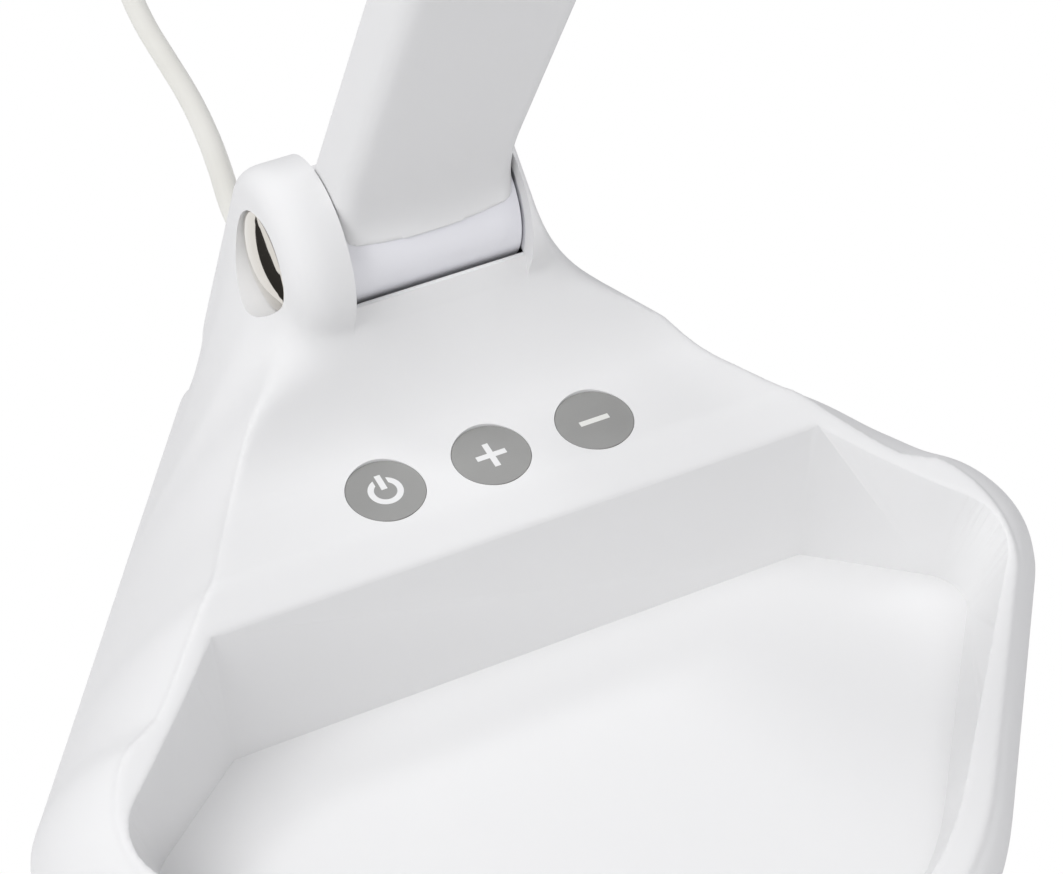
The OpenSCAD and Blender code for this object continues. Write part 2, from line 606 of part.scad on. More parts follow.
// ---------------------------------------------------------------- elbow
fork_in = arm_w / 2 - fork_ear_t;
elbow_head_r = 4.2;
elbow_cap_seat = 1.2;
elbow_head_t = 2;
elbow_seat_x = arm_w / 2 - elbow_cap_seat - elbow_head_t;
fork_gap_z = -12;
fork_root = 52;
module elbow_fork() color(WHITE) in_arm() translate([0, 0, arm_len]) difference() {
    union() {
        soft_bar(arm_w, front_y, rear_face_y, shell_top - arm_len, 0, arm_edge_r);
        rod_x(fork_r, -arm_w / 2, arm_w / 2);
        block([-arm_w / 2 + arm_wall + fit, tongue_y, -fork_root],
            [arm_w / 2 - arm_wall - fit, strip_y, shell_top - arm_len + 1]);
    }
    block([-fork_in, -20, fork_gap_z], [fork_in, 20, 20]);
    rod_x(elbow_shaft_d / 2 + fit, -arm_w, arm_w);
    for (s = [0, 1]) mirror([s, 0, 0]) {
        rod_x(elbow_cap_d / 2 + fit, arm_w / 2 - elbow_cap_seat, arm_w);
        rod_x(elbow_head_r + fit, elbow_seat_x, arm_w);
    }
    translate([0, 0, -arm_len]) {
        block([-core_w / 2 - fit, strip_y, 100],
            [core_w / 2 + fit, strip_y + core_t + fit, strip_z[1] + fit]);
        translate([wire_x, tongue_y + wire_d / 2, arm_len - 110])
            cylinder(d = wire_d + 2 * run, h = 70);
        for (z = [core_screw_z[2], core_screw_z[3]]) translate([0, strip_y + eps, z]) rotate([90, 0, 0])
            cylinder(d = 3, h = tongue_t + 1, $fn = screw_fn);
    }
}
elbow_nut_t = 1.8;
module elbow_shaft() color(STEEL) in_bar() {
    rod_x(elbow_shaft_d / 2, -elbow_seat_x - eps, elbow_seat_x + elbow_nut_t);
    rod_x(elbow_head_r, -elbow_seat_x - elbow_head_t + 0.2, -elbow_seat_x);
}
module elbow_nut() color(STEEL) in_bar() difference() {
    rod_x(elbow_head_r, elbow_seat_x, elbow_seat_x + elbow_nut_t);
    rod_x(elbow_shaft_d / 2 + 0.01, 0, arm_w);
}
module elbow_friction_washers() color(STEEL) in_bar() for (s = [0, 1]) mirror([s, 0, 0])
    washer(fork_in - run, 6.5, elbow_shaft_d / 2 + shaft_run);
module elbow_cap_right() color(CHROME) in_bar() translate([arm_w / 2 - elbow_cap_seat, 0, 0])
    cap(elbow_cap_d, elbow_cap_seat, 1.2);
module elbow_cap_left() color(CHROME) in_bar() mirror([1, 0, 0])
    translate([arm_w / 2 - elbow_cap_seat, 0, 0]) cap(elbow_cap_d, elbow_cap_seat, 1.2);

// ---------------------------------------------------------------- light bar
// In the bar's own frame the elbow's axis is at 0 and the bar points to -y
bar_y = -9.6;
bar_top = bar_lift + bar_t;
inner_top = bar_top - bar_wall;
tail_z = [8, 11.6];
tail_y = -34;
tail_half = 9;
knuckle_half = fork_in - run;
head_screw_y = [-18, -28];
head_screw_d = 3;
head_screw_head = 5.4;
head_screw_head_h = 0.6;
head_screw_len = 6;
module head_knuckle() color(WHITE) in_bar() difference() {
    union() {
        rod_x(knuckle_r, -knuckle_half, knuckle_half);
        block([-knuckle_half, -knuckle_r, 0], [knuckle_half, 0, tail_z[1]]);
        block([-tail_half, tail_y, tail_z[0]], [tail_half, -knuckle_r + eps, tail_z[1]]);
    }
    rod_x(elbow_shaft_d / 2 + shaft_run, -arm_w, arm_w);
    for (y = head_screw_y) translate([0, y, 0]) {
        cylinder(d = head_screw_d + 2 * fit, h = bar_t * 2);
        cylinder(d = head_screw_head + 2 * fit, h = tail_z[0] + head_screw_head_h);
    }
}
bar_end_r = 5;
module bar_outline(inset, y0, y1, r) {
    w = bar_w / 2 - inset;
    for (x = [-w + r, w - r], y = [y0 - r, y1 + r]) translate([x, y]) circle(r = r);
    translate([-w + r, y1]) square([2 * (w - r), y0 - y1]);
    translate([-w, y1 + r]) square([2 * w, y0 - y1 - 2 * r]);
}
module head_top_cover() color(WHITE) in_bar() difference() {
    translate([0, 0, bar_lift]) linear_extrude(bar_t) bar_outline(0, bar_y, -bar_len, bar_end_r);
    difference() {
        translate([0, 0, bar_lift - 1]) linear_extrude(bar_t - bar_wall + 1)
            bar_outline(bar_wall, bar_y - bar_wall, -bar_len + bar_wall, bar_end_r - bar_wall);
        for (y = head_screw_y) translate([0, y, tail_z[1]]) cylinder(d = 7, h = 10);
    }
    block([-tail_half - fit, 0, tail_z[0] - fit], [tail_half + fit, bar_y - 4, tail_z[1] + fit]);
    for (y = head_screw_y) translate([0, y, tail_z[1] - eps])
        cylinder(d = head_screw_d, h = head_screw_len + head_screw_head_h - (tail_z[1] - tail_z[0]) + 0.5);
}
frame_y = [bar_y - bar_wall - fit, -bar_len + bar_wall + fit];
window_y = [-40, -bar_len + 9];
module head_bottom_frame() color(WHITE) in_bar() difference() {
    translate([0, 0, bar_lift]) linear_extrude(bar_wall) bar_outline(bar_wall + fit, frame_y[0], frame_y[1],
        bar_end_r - bar_wall - fit);
    block([-window_w / 2, window_y[0], 0], [window_w / 2, window_y[1], 20]);
}
module diffuser() color(MILKY) in_bar() {
    block([-window_w / 2 + fit, window_y[0] - fit, bar_lift + 0.3],
        [window_w / 2 - fit, window_y[1] + fit, bar_lift + bar_wall + eps]);
    block([-window_w / 2 - 1, window_y[0] + 1, bar_lift + bar_wall],
        [window_w / 2 + 1, window_y[1] - 1, bar_lift + bar_wall + 1]);
}
led_board_t = 1;
led_half = 11;
spreader_t = 2;
spreader_half = 14;
led_y = [-42, -bar_len + 12];
module heat_spreader() color(STEEL) in_bar()
    block([-spreader_half, led_y[0] + 2, inner_top - spreader_t],
        [spreader_half, led_y[1] - 2, inner_top]);
module led_board() color(BOARD) in_bar()
    block([-led_half, led_y[0], inner_top - spreader_t - led_board_t],
        [led_half, led_y[1], inner_top - spreader_t]);
module led_chips() color(MILKY) in_bar() for (i = [0:led_count - 1])
    translate([0, mix(led_y[0] - 6, led_y[1] + 6, i / (led_count - 1)),
        inner_top - spreader_t - led_board_t])
        block([-1.5, -1.5, -0.8], [1.5, 1.5, 0]);
module head_screws() color(STEEL) in_bar() for (y = head_screw_y)
    translate([0, y, tail_z[0] + head_screw_head_h])
        screw(head_screw_d, head_screw_len, head_screw_head, head_screw_head_h);

// ---------------------------------------------------------------- supply cord
cord_z = cord_d / 2;
relief_len = 24;
relief_y = rear_y + relief_len;
coil_c = [60, 318];
coil_r = 28.5;
coil_bundle_r = 7.9;
cord_route = [[0, relief_y - 1, cord_exit_z], [0, 124, 8], [0.5, 131, 5.4], [1.4, 138, 3.4],
    [2.6, 146, cord_z],
    [4.8, 157, cord_z], [7, 170, cord_z], [8.6, 185, cord_z], [9.2, 200, cord_z], [9.8, 215, cord_z],
    [11.6, 230, cord_z], [15, 246, cord_z], [20, 264, cord_z], [25.5, 280, cord_z], [30.2, 297, cord_z],
    [31, 302, cord_z]];
// Smooth point on the route between its points i and i + 1
function route(p, i, t) = let (a = p[max(i - 1, 0)], b = p[i], c = p[i + 1], d = p[min(i + 2, len(p) - 1)])
    0.5 * (2 * b + (c - a) * t + (2 * a - 5 * b + 4 * c - d) * t * t + (3 * b - a - 3 * c + d) * t * t * t);
cord_line = [for (i = [0:len(cord_route) - 2], t = [0, 0.5]) route(cord_route, i, t)];
cord_sides = 10;
// A tube of radius r along a line of points
module tube(line, r) {
    n = len(line);
    function way(i) = unit(line[min(i + 1, n - 1)] - line[max(i - 1, 0)]);
    function ring(i) = let (w = way(i), s = unit(cross(w, [0, 0, 1])), u = cross(s, w))
        [for (k = [0:cord_sides - 1]) let (a = 360 * (k + 0.5) / cord_sides)
            line[i] + r * (s * cos(a) + u * sin(a))];
    points = [for (i = [0:n - 1]) each ring(i)];
    faces = concat([for (i = [0:n - 2], k = [0:cord_sides - 1]) let (l = (k + 1) % cord_sides)
            [i * cord_sides + k, i * cord_sides + l, (i + 1) * cord_sides + l, (i + 1) * cord_sides + k]],
        [[for (k = [cord_sides - 1:-1:0]) k]], [[for (k = [0:cord_sides - 1]) (n - 1) * cord_sides + k]]);
    polyhedron(points, faces, convexity = 6);
}
module supply_cord() color(CORD) tube(cord_line, cord_d / 2);
module strain_relief() color(CORD) translate([0, rear_y, cord_exit_z]) rotate([-90, 0, 0]) {
    translate([0, 0, -7]) cylinder(r = relief_root_r - 1, h = 7 + eps);
    cylinder(r1 = relief_root_r, r2 = cord_d / 2 + 0.6, h = relief_len);
}
module board_lead() color(CORD) {
    translate([0, rear_y - 7, cord_exit_z]) rotate([90, 0, 0]) cylinder(d = 4, h = 26);
}
module cord_coil() color(CORD) translate([coil_c[0], coil_c[1], coil_bundle_r]) rotate_extrude()
    translate([coil_r, 0]) circle(r = coil_bundle_r, $fn = 16);
adapter_x = coil_c[0] + coil_r;
adapter_bush_y = coil_c[1] - 12;
bush_len = 24;
adapter_l = 46;
adapter_w = 40;
adapter_h = 28;
adapter_y = adapter_bush_y - bush_len;
module adapter_bush() color(CORD) translate([adapter_x, adapter_bush_y, adapter_h / 2]) rotate([90, 0, 0])
    cylinder(r1 = cord_d / 2 + 0.5, r2 = 4.6, h = bush_len);
module adapter_body() color(WHITE) translate([adapter_x, adapter_y, 0]) linear_extrude(adapter_h) {
    r = 5;
    w = adapter_w / 2;
    for (x = [-w + r, w - r], y = [-r, -adapter_l + r]) translate([x, y]) circle(r = r);
    translate([-w + r, -adapter_l]) square([adapter_w - 2 * r, adapter_l]);
    translate([-w, -adapter_l + r]) square([adapter_w, adapter_l - 2 * r]);
}
prong = [1.5, 16, 6.4];
prong_pitch = 12.7;
module adapter_prongs() color(CHROME) for (s = [-1, 1])
    translate([adapter_x + (s * prong_pitch - prong[0]) / 2, adapter_y - adapter_l - prong[1],
        (adapter_h - prong[2]) / 2]) cube(prong);

// ---------------------------------------------------------------- what is drawn
base_top_cover();
base_bottom_cover();
non_slip_pad();
ballast_plate();
base_screws();
control_board();
control_chip();
board_screws();
touch_sensor_pads();
touch_key_power();
touch_key_plus();
touch_key_minus();
hinge_cheek_left();
hinge_cheek_right();
lower_hinge_shaft();
lower_hinge_nut();
lower_friction_washers();
lower_cap_left();
strain_relief();
board_lead();
lower_hinge_barrel();
arm_front_shell();
arm_rear_cover();
arm_core_strip();
arm_core_screws();
arm_wire();
elbow_fork();
elbow_shaft();
elbow_nut();
elbow_friction_washers();
elbow_cap_left();
elbow_cap_right();
head_knuckle();
head_top_cover();
head_bottom_frame();
diffuser();
heat_spreader();
led_board();
led_chips();
head_screws();
supply_cord();
cord_coil();
adapter_body();
adapter_prongs();
adapter_bush();
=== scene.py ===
# %% [markdown]
# # A folding LED desk lamp
# The CAD frame is loaded first. It brings every solid of the lamp, already in place and in metres, and each
# later cell either gives one of them its finish or models a finer piece that stands in for it.

# %% Load the frame
import math

import bpy
from mathutils import Matrix, Vector
from mathutils.kdtree import KDTree


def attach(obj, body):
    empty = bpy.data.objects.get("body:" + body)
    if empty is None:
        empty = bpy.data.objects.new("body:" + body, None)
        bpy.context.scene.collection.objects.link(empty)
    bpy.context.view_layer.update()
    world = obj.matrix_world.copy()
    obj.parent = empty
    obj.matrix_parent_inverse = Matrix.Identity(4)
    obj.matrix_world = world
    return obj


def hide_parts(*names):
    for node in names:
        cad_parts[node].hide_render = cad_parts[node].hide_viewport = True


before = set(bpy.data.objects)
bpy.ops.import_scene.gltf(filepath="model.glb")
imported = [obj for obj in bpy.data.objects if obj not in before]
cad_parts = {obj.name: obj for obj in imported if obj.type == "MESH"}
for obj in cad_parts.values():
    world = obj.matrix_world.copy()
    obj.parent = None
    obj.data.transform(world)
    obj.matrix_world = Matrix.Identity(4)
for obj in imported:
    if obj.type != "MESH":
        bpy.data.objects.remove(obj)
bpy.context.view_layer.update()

MM = 0.001
TOUCHING = 1e-6  # points closer than this, in metres, are one point
print("CAD nodes:", len(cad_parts))


# %% Small helpers
def deselect():
    """Leaves edit mode and selects nothing."""
    if bpy.context.mode != "OBJECT":
        bpy.ops.object.mode_set(mode="OBJECT")
    bpy.ops.object.select_all(action="DESELECT")


def mm(*values):
    """A point or size in millimetres, given to Blender in metres."""
    return Vector(values) * MM


def take(name):
    """Names the object that an operator has just made."""
    obj = bpy.context.active_object
    obj.name = obj.data.name = name
    return obj


def choose(obj):
    """Selects one object alone and makes it the active one, as most operators need."""
    deselect()
    obj.select_set(True)
    bpy.context.view_layer.objects.active = obj


def settle(obj):
    """Puts an object's place into its mesh, so that the object itself sits at the origin."""
    choose(obj)
    bpy.ops.object.transform_apply(location=True, rotation=True, scale=True)


def place(obj, matrix):
    """Moves an object by a matrix and settles it there."""
    obj.matrix_world = matrix
    settle(obj)
    return obj


def apply_modifiers(obj):
    """Puts an object's modifiers into its mesh, in their order."""
    choose(obj)
    for m in list(obj.modifiers):
        bpy.ops.object.modifier_apply(modifier=m.name)


def soften(obj, degrees):
    """Smooth shading that leaves edges sharper than so many degrees crisp."""
    choose(obj)
    bpy.ops.object.shade_smooth_by_angle(angle=math.radians(degrees))


def smooth_node(node, degrees=30):
    """Smooth shading for a CAD node, whose mesh of loose triangles is itself left alone."""
    node.data.polygons.foreach_set("use_smooth", [True] * len(node.data.polygons))
    weld = node.modifiers.new("weld", "WELD")
    weld.merge_threshold = TOUCHING
    edges = node.modifiers.new("edges", "EDGE_SPLIT")
    edges.split_angle = math.radians(degrees)


def from_points(name, points, edges, faces):
    """A new object from points in metres and the edges or faces between them."""
    mesh = bpy.data.meshes.new(name)
    mesh.from_pydata(points, edges, faces)
    obj = bpy.data.objects.new(name, mesh)
    bpy.context.collection.objects.link(obj)
    return obj


def face_outwards(obj, merge=False, triangles=True):
    """Points all faces outwards, once double points are merged and faces made triangles where asked."""
    choose(obj)
    bpy.ops.object.mode_set(mode="EDIT")
    bpy.ops.mesh.select_all(action="SELECT")
    if merge:
        bpy.ops.mesh.remove_doubles(threshold=TOUCHING)
    if triangles:
        bpy.ops.mesh.quads_convert_to_tris()
    bpy.ops.mesh.normals_make_consistent(inside=False)
    bpy.ops.object.mode_set(mode="OBJECT")
    return obj


def report(obj):
    """Prints a piece's faces and size."""
    low, high = (Vector(obj.bound_box[i]) for i in (0, 6))
    size = [round(x / MM, 1) for x in high - low]
    print(f"{obj.name}: {len(obj.data.polygons)} faces, {size} mm")


# %% [markdown]
# ## The camera
# A long lens from above and to the left of the base. The three columns of the matrix are the camera's right,
# up and backward directions, so that no angle has to be worked out.

# %% Camera
bpy.ops.object.camera_add()
camera = bpy.context.active_object
camera.name = "camera"
camera.data.sensor_width = 36
camera.data.lens = 102.04
camera.data.clip_start, camera.data.clip_end = 0.02, 20
eye = mm(-161.9, -327.9, 399.6)
right = Vector((0.8958, -0.4445, 0))
up = Vector((0.3031, 0.6109, 0.7314))
back = right.cross(up)
camera.matrix_world = Matrix.Translation(eye) @ Matrix((right, up, back)).transposed().to_4x4()
bpy.context.scene.camera = camera
print("camera at", [round(x, 3) for x in camera.location])

# %% [markdown]
# ## The supply cord
# A low-voltage lead of about 1.5 m. It leaves the strain relief, drops to the table and lies in a loose
# curve to a neat coil, which holds what isn't needed, and the coil ends in the adapter. The free stretch
# follows the points that the CAD gives it. The coil's turns lie side by side in three layers. A curve with a
# round bevel is the plain way to such a tube. Its thickness is set as the radius of its points and not as the
# bevel's depth, because Blender adds that radius to the curve's bounds.

# %% The cord's line
CORD_D = 5.2
cord_route = [(0, 118, 9), (0, 124, 8), (0.5, 131, 5.4), (1.4, 138, 3.4), (2.6, 146, 2.6), (4.8, 157, 2.6),
              (7, 170, 2.6), (8.6, 185, 2.6), (9.2, 200, 2.6), (9.8, 215, 2.6), (11.6, 230, 2.6),
              (15, 246, 2.6), (20, 264, 2.6), (25.5, 280, 2.6), (29, 292, 2.6)]
cord_end = [(88.5, 313, 13.6), (88.5, 305, 14)]
COIL_X, COIL_Y, COIL_R = 60, 318, 28.5
TURN_GAP = CORD_D + 0.1
COIL_START = 197  # degrees
STEPS_PER_TURN = 20
COIL_TURNS = 7 + COIL_START / 360
# Where each turn lies in the coil's section: steps outwards and layers up.
turn_places = [(1, 0), (0, 0), (-1, 0), (-1, 1), (0, 1), (1, 1), (1, 2), (0, 2)]
CHANGE = 0.3  # the last share of each turn, in which the cord moves over to the next place


def coil_point(turn):
    """A point on the coil after so many turns from where the cord comes in, clockwise from above."""
    angle = math.radians(COIL_START - 360 * turn)
    i = min(int(turn), len(turn_places) - 1)
    here, there = turn_places[i], turn_places[min(i + 1, len(turn_places) - 1)]
    t = max(0, (turn - i - 1 + CHANGE) / CHANGE)
    t = t * t * (3 - 2 * t)
    out, layer = (here[k] * (1 - t) + there[k] * t for k in (0, 1))
    r = COIL_R + out * TURN_GAP
    return (COIL_X + r * math.cos(angle), COIL_Y + r * math.sin(angle), CORD_D / 2 + layer * TURN_GAP)


coil_points = [coil_point(k / STEPS_PER_TURN) for k in range(1, round(COIL_TURNS * STEPS_PER_TURN))]
cord_points = cord_route + coil_points + cord_end
print("coil:", len(coil_points), "points")

# %% The cord's curve
bpy.ops.curve.primitive_bezier_curve_add()
cord = take("supply_lead")
spline = cord.data.splines[0]
spline.bezier_points.add(len(cord_points) - 2)
for point, spot in zip(spline.bezier_points, cord_points):
    point.co = mm(*spot)
    point.handle_left_type = point.handle_right_type = "AUTO"
    point.radius = CORD_D / 2 * MM
cord.data.dimensions = "3D"
cord.data.resolution_u = 4
cord.data.bevel_depth = 1
cord.data.bevel_resolution = 3
cord.data.use_fill_caps = True
cord_length = sum((Vector(b) - Vector(a)).length for a, b in zip(cord_points, cord_points[1:])) * MM
print("cord:", round(cord_length, 3), "m,", len(cord_points), "points")
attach(cord, "base")
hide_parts("supply_cord", "cord_coil")

# %% [markdown]
# ## Finishes
# Almost all that shows is moulded ABS, so that the whole look rests on one white that isn't flat: a
# moulded face has a faint orange peel, picks up fine wipe marks and is a little duller where a hand or a
# cloth has been. Colours are the hex values that a paint program shows, turned to Blender's linear light.


# %% Colours and nodes
def linear(hex_colour):
    """An sRGB hex colour as linear RGBA."""
    parts = [int(hex_colour[i:i + 2], 16) / 255 for i in (1, 3, 5)]
    return tuple(c / 12.92 if c <= 0.04045 else ((c + 0.055) / 1.055) ** 2.4 for c in parts) + (1,)


def add(tree, kind, links=None, **settings):
    """Adds a node. Settings name its properties or input sockets; links feed its inputs from other nodes."""
    node = tree.nodes.new(kind)
    for key, value in settings.items():
        if hasattr(node, key):
            setattr(node, key, value)
        else:
            node.inputs[key.replace("_", " ")].default_value = value
    for key, socket in (links or {}).items():
        tree.links.new(socket, node.inputs[key])
    return node


def new_material(name, **shader):
    """A material of one Principled shader; shader gives its constant sockets."""
    material = bpy.data.materials.new(name)
    material.use_nodes = True
    tree = material.node_tree
    tree.nodes.clear()
    out = tree.nodes.new("ShaderNodeOutputMaterial")
    bsdf = tree.nodes.new("ShaderNodeBsdfPrincipled")
    for key, value in shader.items():
        bsdf.inputs[key.replace("_", " ")].default_value = value
    tree.links.new(bsdf.outputs[0], out.inputs[0])
    return material, tree, bsdf


def moulded(name, light, dark, roughness, spread, peel_mm, peel):
    """A moulded plastic: two close shades in soft clouds, uneven gloss and a fine peel in the surface."""
    material, tree, bsdf = new_material(name, IOR=1.53)
    coords = add(tree, "ShaderNodeTexCoord").outputs["Object"]
    cloud = add(tree, "ShaderNodeTexNoise", {"Vector": coords}, Scale=28.0, Detail=3.0, Roughness=0.55)
    tone = add(tree, "ShaderNodeMapRange", {"Value": cloud.outputs["Fac"]}, From_Min=0.35, From_Max=0.65)
    colour = add(tree, "ShaderNodeMix", {"Factor": tone.outputs[0]}, data_type="RGBA")
    colour.inputs[6].default_value, colour.inputs[7].default_value = linear(dark), linear(light)
    tree.links.new(colour.outputs[2], bsdf.inputs["Base Color"])
    smear = add(tree, "ShaderNodeTexNoise", {"Vector": coords}, Scale=70.0, Detail=4.0, Roughness=0.6,
                Distortion=0.6)
    gloss = add(tree, "ShaderNodeMapRange", {"Value": smear.outputs["Fac"]}, From_Min=0.3, From_Max=0.7,
                To_Min=roughness - spread, To_Max=roughness + spread)
    tree.links.new(gloss.outputs[0], bsdf.inputs["Roughness"])
    grain = add(tree, "ShaderNodeTexNoise", {"Vector": coords}, Scale=1000 / peel_mm, Detail=2.0,
                Roughness=0.5)
    bump = add(tree, "ShaderNodeBump", {"Height": grain.outputs["Fac"]}, Strength=peel, Distance=0.0002)
    tree.links.new(bump.outputs[0], bsdf.inputs["Normal"])
    return material


def metal(name, light, dark, roughness, spread, line_mm, depth, direction=(1, 1, 1)):
    """A metal: fine lines or grain stretched along one direction."""
    material, tree, bsdf = new_material(name, Metallic=1.0)
    coords = add(tree, "ShaderNodeTexCoord").outputs["Object"]
    turned = add(tree, "ShaderNodeMapping", {"Vector": coords}, Scale=direction)
    lines = add(tree, "ShaderNodeTexNoise", {"Vector": turned.outputs[0]}, Scale=1000 / line_mm, Detail=3.0,
                Roughness=0.6)
    colour = add(tree, "ShaderNodeMix", {"Factor": lines.outputs["Fac"]}, data_type="RGBA")
    colour.inputs[6].default_value, colour.inputs[7].default_value = linear(dark), linear(light)
    tree.links.new(colour.outputs[2], bsdf.inputs["Base Color"])
    gloss = add(tree, "ShaderNodeMapRange", {"Value": lines.outputs["Fac"]}, From_Min=0.3, From_Max=0.7,
                To_Min=max(0.02, roughness - spread), To_Max=roughness + spread)
    tree.links.new(gloss.outputs[0], bsdf.inputs["Roughness"])
    bump = add(tree, "ShaderNodeBump", {"Height": lines.outputs["Fac"]}, Strength=depth, Distance=0.0001)
    tree.links.new(bump.outputs[0], bsdf.inputs["Normal"])
    return material


# %% The lamp's materials
gloss_abs = moulded("white_gloss_abs_moulded", "#eeeef2", "#e9e9ee", 0.24, 0.04, 1.6, 0.05)
polished_abs = moulded("white_polished_abs_moulded", "#ededf1", "#e8e8ed", 0.15, 0.03, 2.2, 0.03)
satin_abs = moulded("white_satin_abs_moulded", "#e9e9eb", "#e2e2e5", 0.46, 0.06, 0.8, 0.15)
key_ink = moulded("grey_printed_key", "#9f9f9d", "#939391", 0.4, 0.05, 0.5, 0.12)
key_sign = moulded("white_printed_sign", "#f0f0ec", "#e4e4e0", 0.45, 0.05, 0.5, 0.1)
soft_pvc = moulded("off_white_pvc_jacket", "#ebeae4", "#e4e3dc", 0.42, 0.05, 1.8, 0.03)
pad_rubber = moulded("dark_rubber_pad", "#3c3c3e", "#2e2e30", 0.72, 0.08, 0.6, 0.35)
milky = moulded("milky_acrylic_diffuser", "#f6f5f0", "#efeee8", 0.38, 0.05, 0.7, 0.08)
board_mask = moulded("green_solder_mask", "#1f6b45", "#195a3a", 0.35, 0.08, 0.8, 0.1)
chip_epoxy = moulded("black_epoxy_chip", "#2a2a2d", "#202023", 0.5, 0.08, 0.4, 0.2)
phosphor = moulded("yellow_phosphor_led", "#f2dc7a", "#e6cc62", 0.5, 0.06, 0.4, 0.15)
nickel = metal("polished_nickel_plate", "#dcd8d2", "#d4d0c9", 0.05, 0.02, 2.5, 0.02)
bright_steel = metal("turned_steel", "#b4b6ba", "#a2a4a8", 0.32, 0.08, 0.35, 0.3, (0.15, 1, 1))
rolled_steel = metal("rolled_spring_steel", "#a5a9ae", "#94989d", 0.36, 0.08, 0.5, 0.3, (1, 0.1, 0.1))
cast_iron = metal("cast_iron_ballast", "#6d6e70", "#565759", 0.62, 0.1, 1.4, 0.8)
aluminium = metal("pressed_aluminium_sheet", "#d2d4d6", "#c2c4c7", 0.34, 0.07, 0.5, 0.25, (1, 0.08, 1))
print("materials:", len(bpy.data.materials))

# %% [markdown]
# ## Finishes for the pieces that CAD already shapes well
# Small turned, cut and moulded pieces need no second model. Each takes the material of the real one.

# %% Give CAD nodes their materials
finishes = {
    gloss_abs: ("adapter_body", "hinge_cheek_left", "hinge_cheek_right", "lower_hinge_barrel", "elbow_fork",
                "head_top_cover", "head_knuckle"),
    satin_abs: ("base_bottom_cover", "arm_rear_cover", "head_bottom_frame"),
    key_ink: ("touch_key_power", "touch_key_plus", "touch_key_minus"),
    pad_rubber: ("non_slip_pad",),
    soft_pvc: ("strain_relief", "adapter_bush", "board_lead", "arm_wire"),
    milky: ("diffuser",),
    board_mask: ("control_board", "led_board"),
    chip_epoxy: ("control_chip",),
    phosphor: ("led_chips",),
    nickel: ("elbow_cap_left", "elbow_cap_right", "adapter_prongs", "touch_sensor_pads"),
    bright_steel: ("lower_hinge_shaft", "lower_hinge_nut", "lower_friction_washers", "elbow_shaft",
                   "elbow_nut", "elbow_friction_washers", "base_screws", "board_screws", "arm_core_screws",
                   "head_screws"),
    rolled_steel: ("arm_core_strip",),
    cast_iron: ("ballast_plate",),
    aluminium: ("heat_spreader",),
}
for material, names in finishes.items():
    for name in names:
        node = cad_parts[name]
        node.data.materials.clear()
        node.data.materials.append(material)
        smooth_node(node)
cord.data.materials.append(soft_pvc)
print("finished nodes:", sum(len(n) for n in finishes.values()))

# %% [markdown]
# ## The base's top cover
# One moulded shell: a pen tray in front, a sloping panel for the keys, and a neck that rises to two ears.
# Its sides sweep from the ridge down to the foot in hollow curves. Subdivision would round these but lose
# the exact ridge, so the skin is lofted instead: each station is a line from the foot, up the side and
# over the edge, and the stations follow the ridge round the base.

# %% The base's sizes
# The corners of the tray's floor in plan, right half: beside the key panel, at the side and in front.
REAR, SIDE, FRONT = Vector((56, 0.5)), Vector((80.5, -19.5)), Vector((0, -126))
# The front end's radius, the rim's width behind and in front, and its height at the nose.
NOSE_R, RIM_REAR, RIM_FRONT, RIM_Z = 60, 3.6, 8, 11.5
# How far the foot stands out past the rim, and the radius of the rim's edge.
FOOT_OUT, RIM_EDGE = 3.6, 1.2
# The back's half width and place, the foot's half width, and how far behind the side corner that is.
BACK_HALF, BACK_Y, FOOT_SIDE, FOOT_BEHIND = 27.8, 95, 101.3, 6.7
# The outline's corner radii in plan.
RIDGE_R, FOOT_R, BACK_R = 17, 20, 8
# The lower hinge's axis, y and z.
HINGE = Vector((47, 71.5))
# The ears' radius about that axis, their outer sides, and their edge radii in front and behind.
EAR_R, EAR_HALF, EAR_FRONT, EAR_BACK = 16, 27, 8, 3.5
# The height of the slot's front lip, the slot's radius, and the middle key's place and tilt.
LIP_Z, SLOT_R, KEY_Y, KEY_Z, KEY_TILT = 66.4, 13.8, 14, 42.7, math.radians(4)
# The cover's lower edge, the top of the upright band at the foot, and the wall.
COVER_Z, BAND_Z, WALL = 1.2, 4.6, 2.4
NO_LIMIT = 1000


# %% Plane curves
def mix(a, b, t):
    """From a at t 0 to b at t 1."""
    return a + (b - a) * t


def table(x, rows):
    """Reads y at x from rows of (x, y), with straight lines between them."""
    rows = sorted(rows)
    if x <= rows[0][0]:
        return rows[0][1]
    for (x0, y0), (x1, y1) in zip(rows, rows[1:]):
        if x <= x1:
            return mix(y0, y1, (x - x0) / (x1 - x0))
    return rows[-1][1]


def outward(v):
    """Square to v on its left."""
    return Vector((-v[1], v[0]))


def crossing(p, u, q, v):
    """Where the line from p along u meets the line from q along v."""
    w = q - p
    return p + u * ((w[0] * v[1] - w[1] * v[0]) / (u[0] * v[1] - u[1] * v[0]))


def arc(c, r, a0, a1, n):
    """Points about c at radius r from angle a0 to angle a1."""
    angles = [mix(a0, a1, i / n) for i in range(n + 1)]
    return [c + r * Vector((math.cos(a), math.sin(a))) for a in angles]


def rounded(a, p, b, r, n):
    """The corner p of the way from a to b, rounded with radius r."""
    u, v = (a - p).normalized(), (b - p).normalized()
    half = math.acos(u.dot(v)) / 2
    c = p + (u + v).normalized() * r / math.sin(half)
    s, e = p + u * r / math.tan(half) - c, p + v * r / math.tan(half) - c
    a0 = math.atan2(s[1], s[0])
    turn = (math.atan2(e[1], e[0]) - a0 + 3 * math.pi) % (2 * math.pi) - math.pi
    return arc(c, r, a0, a0 + turn, n)


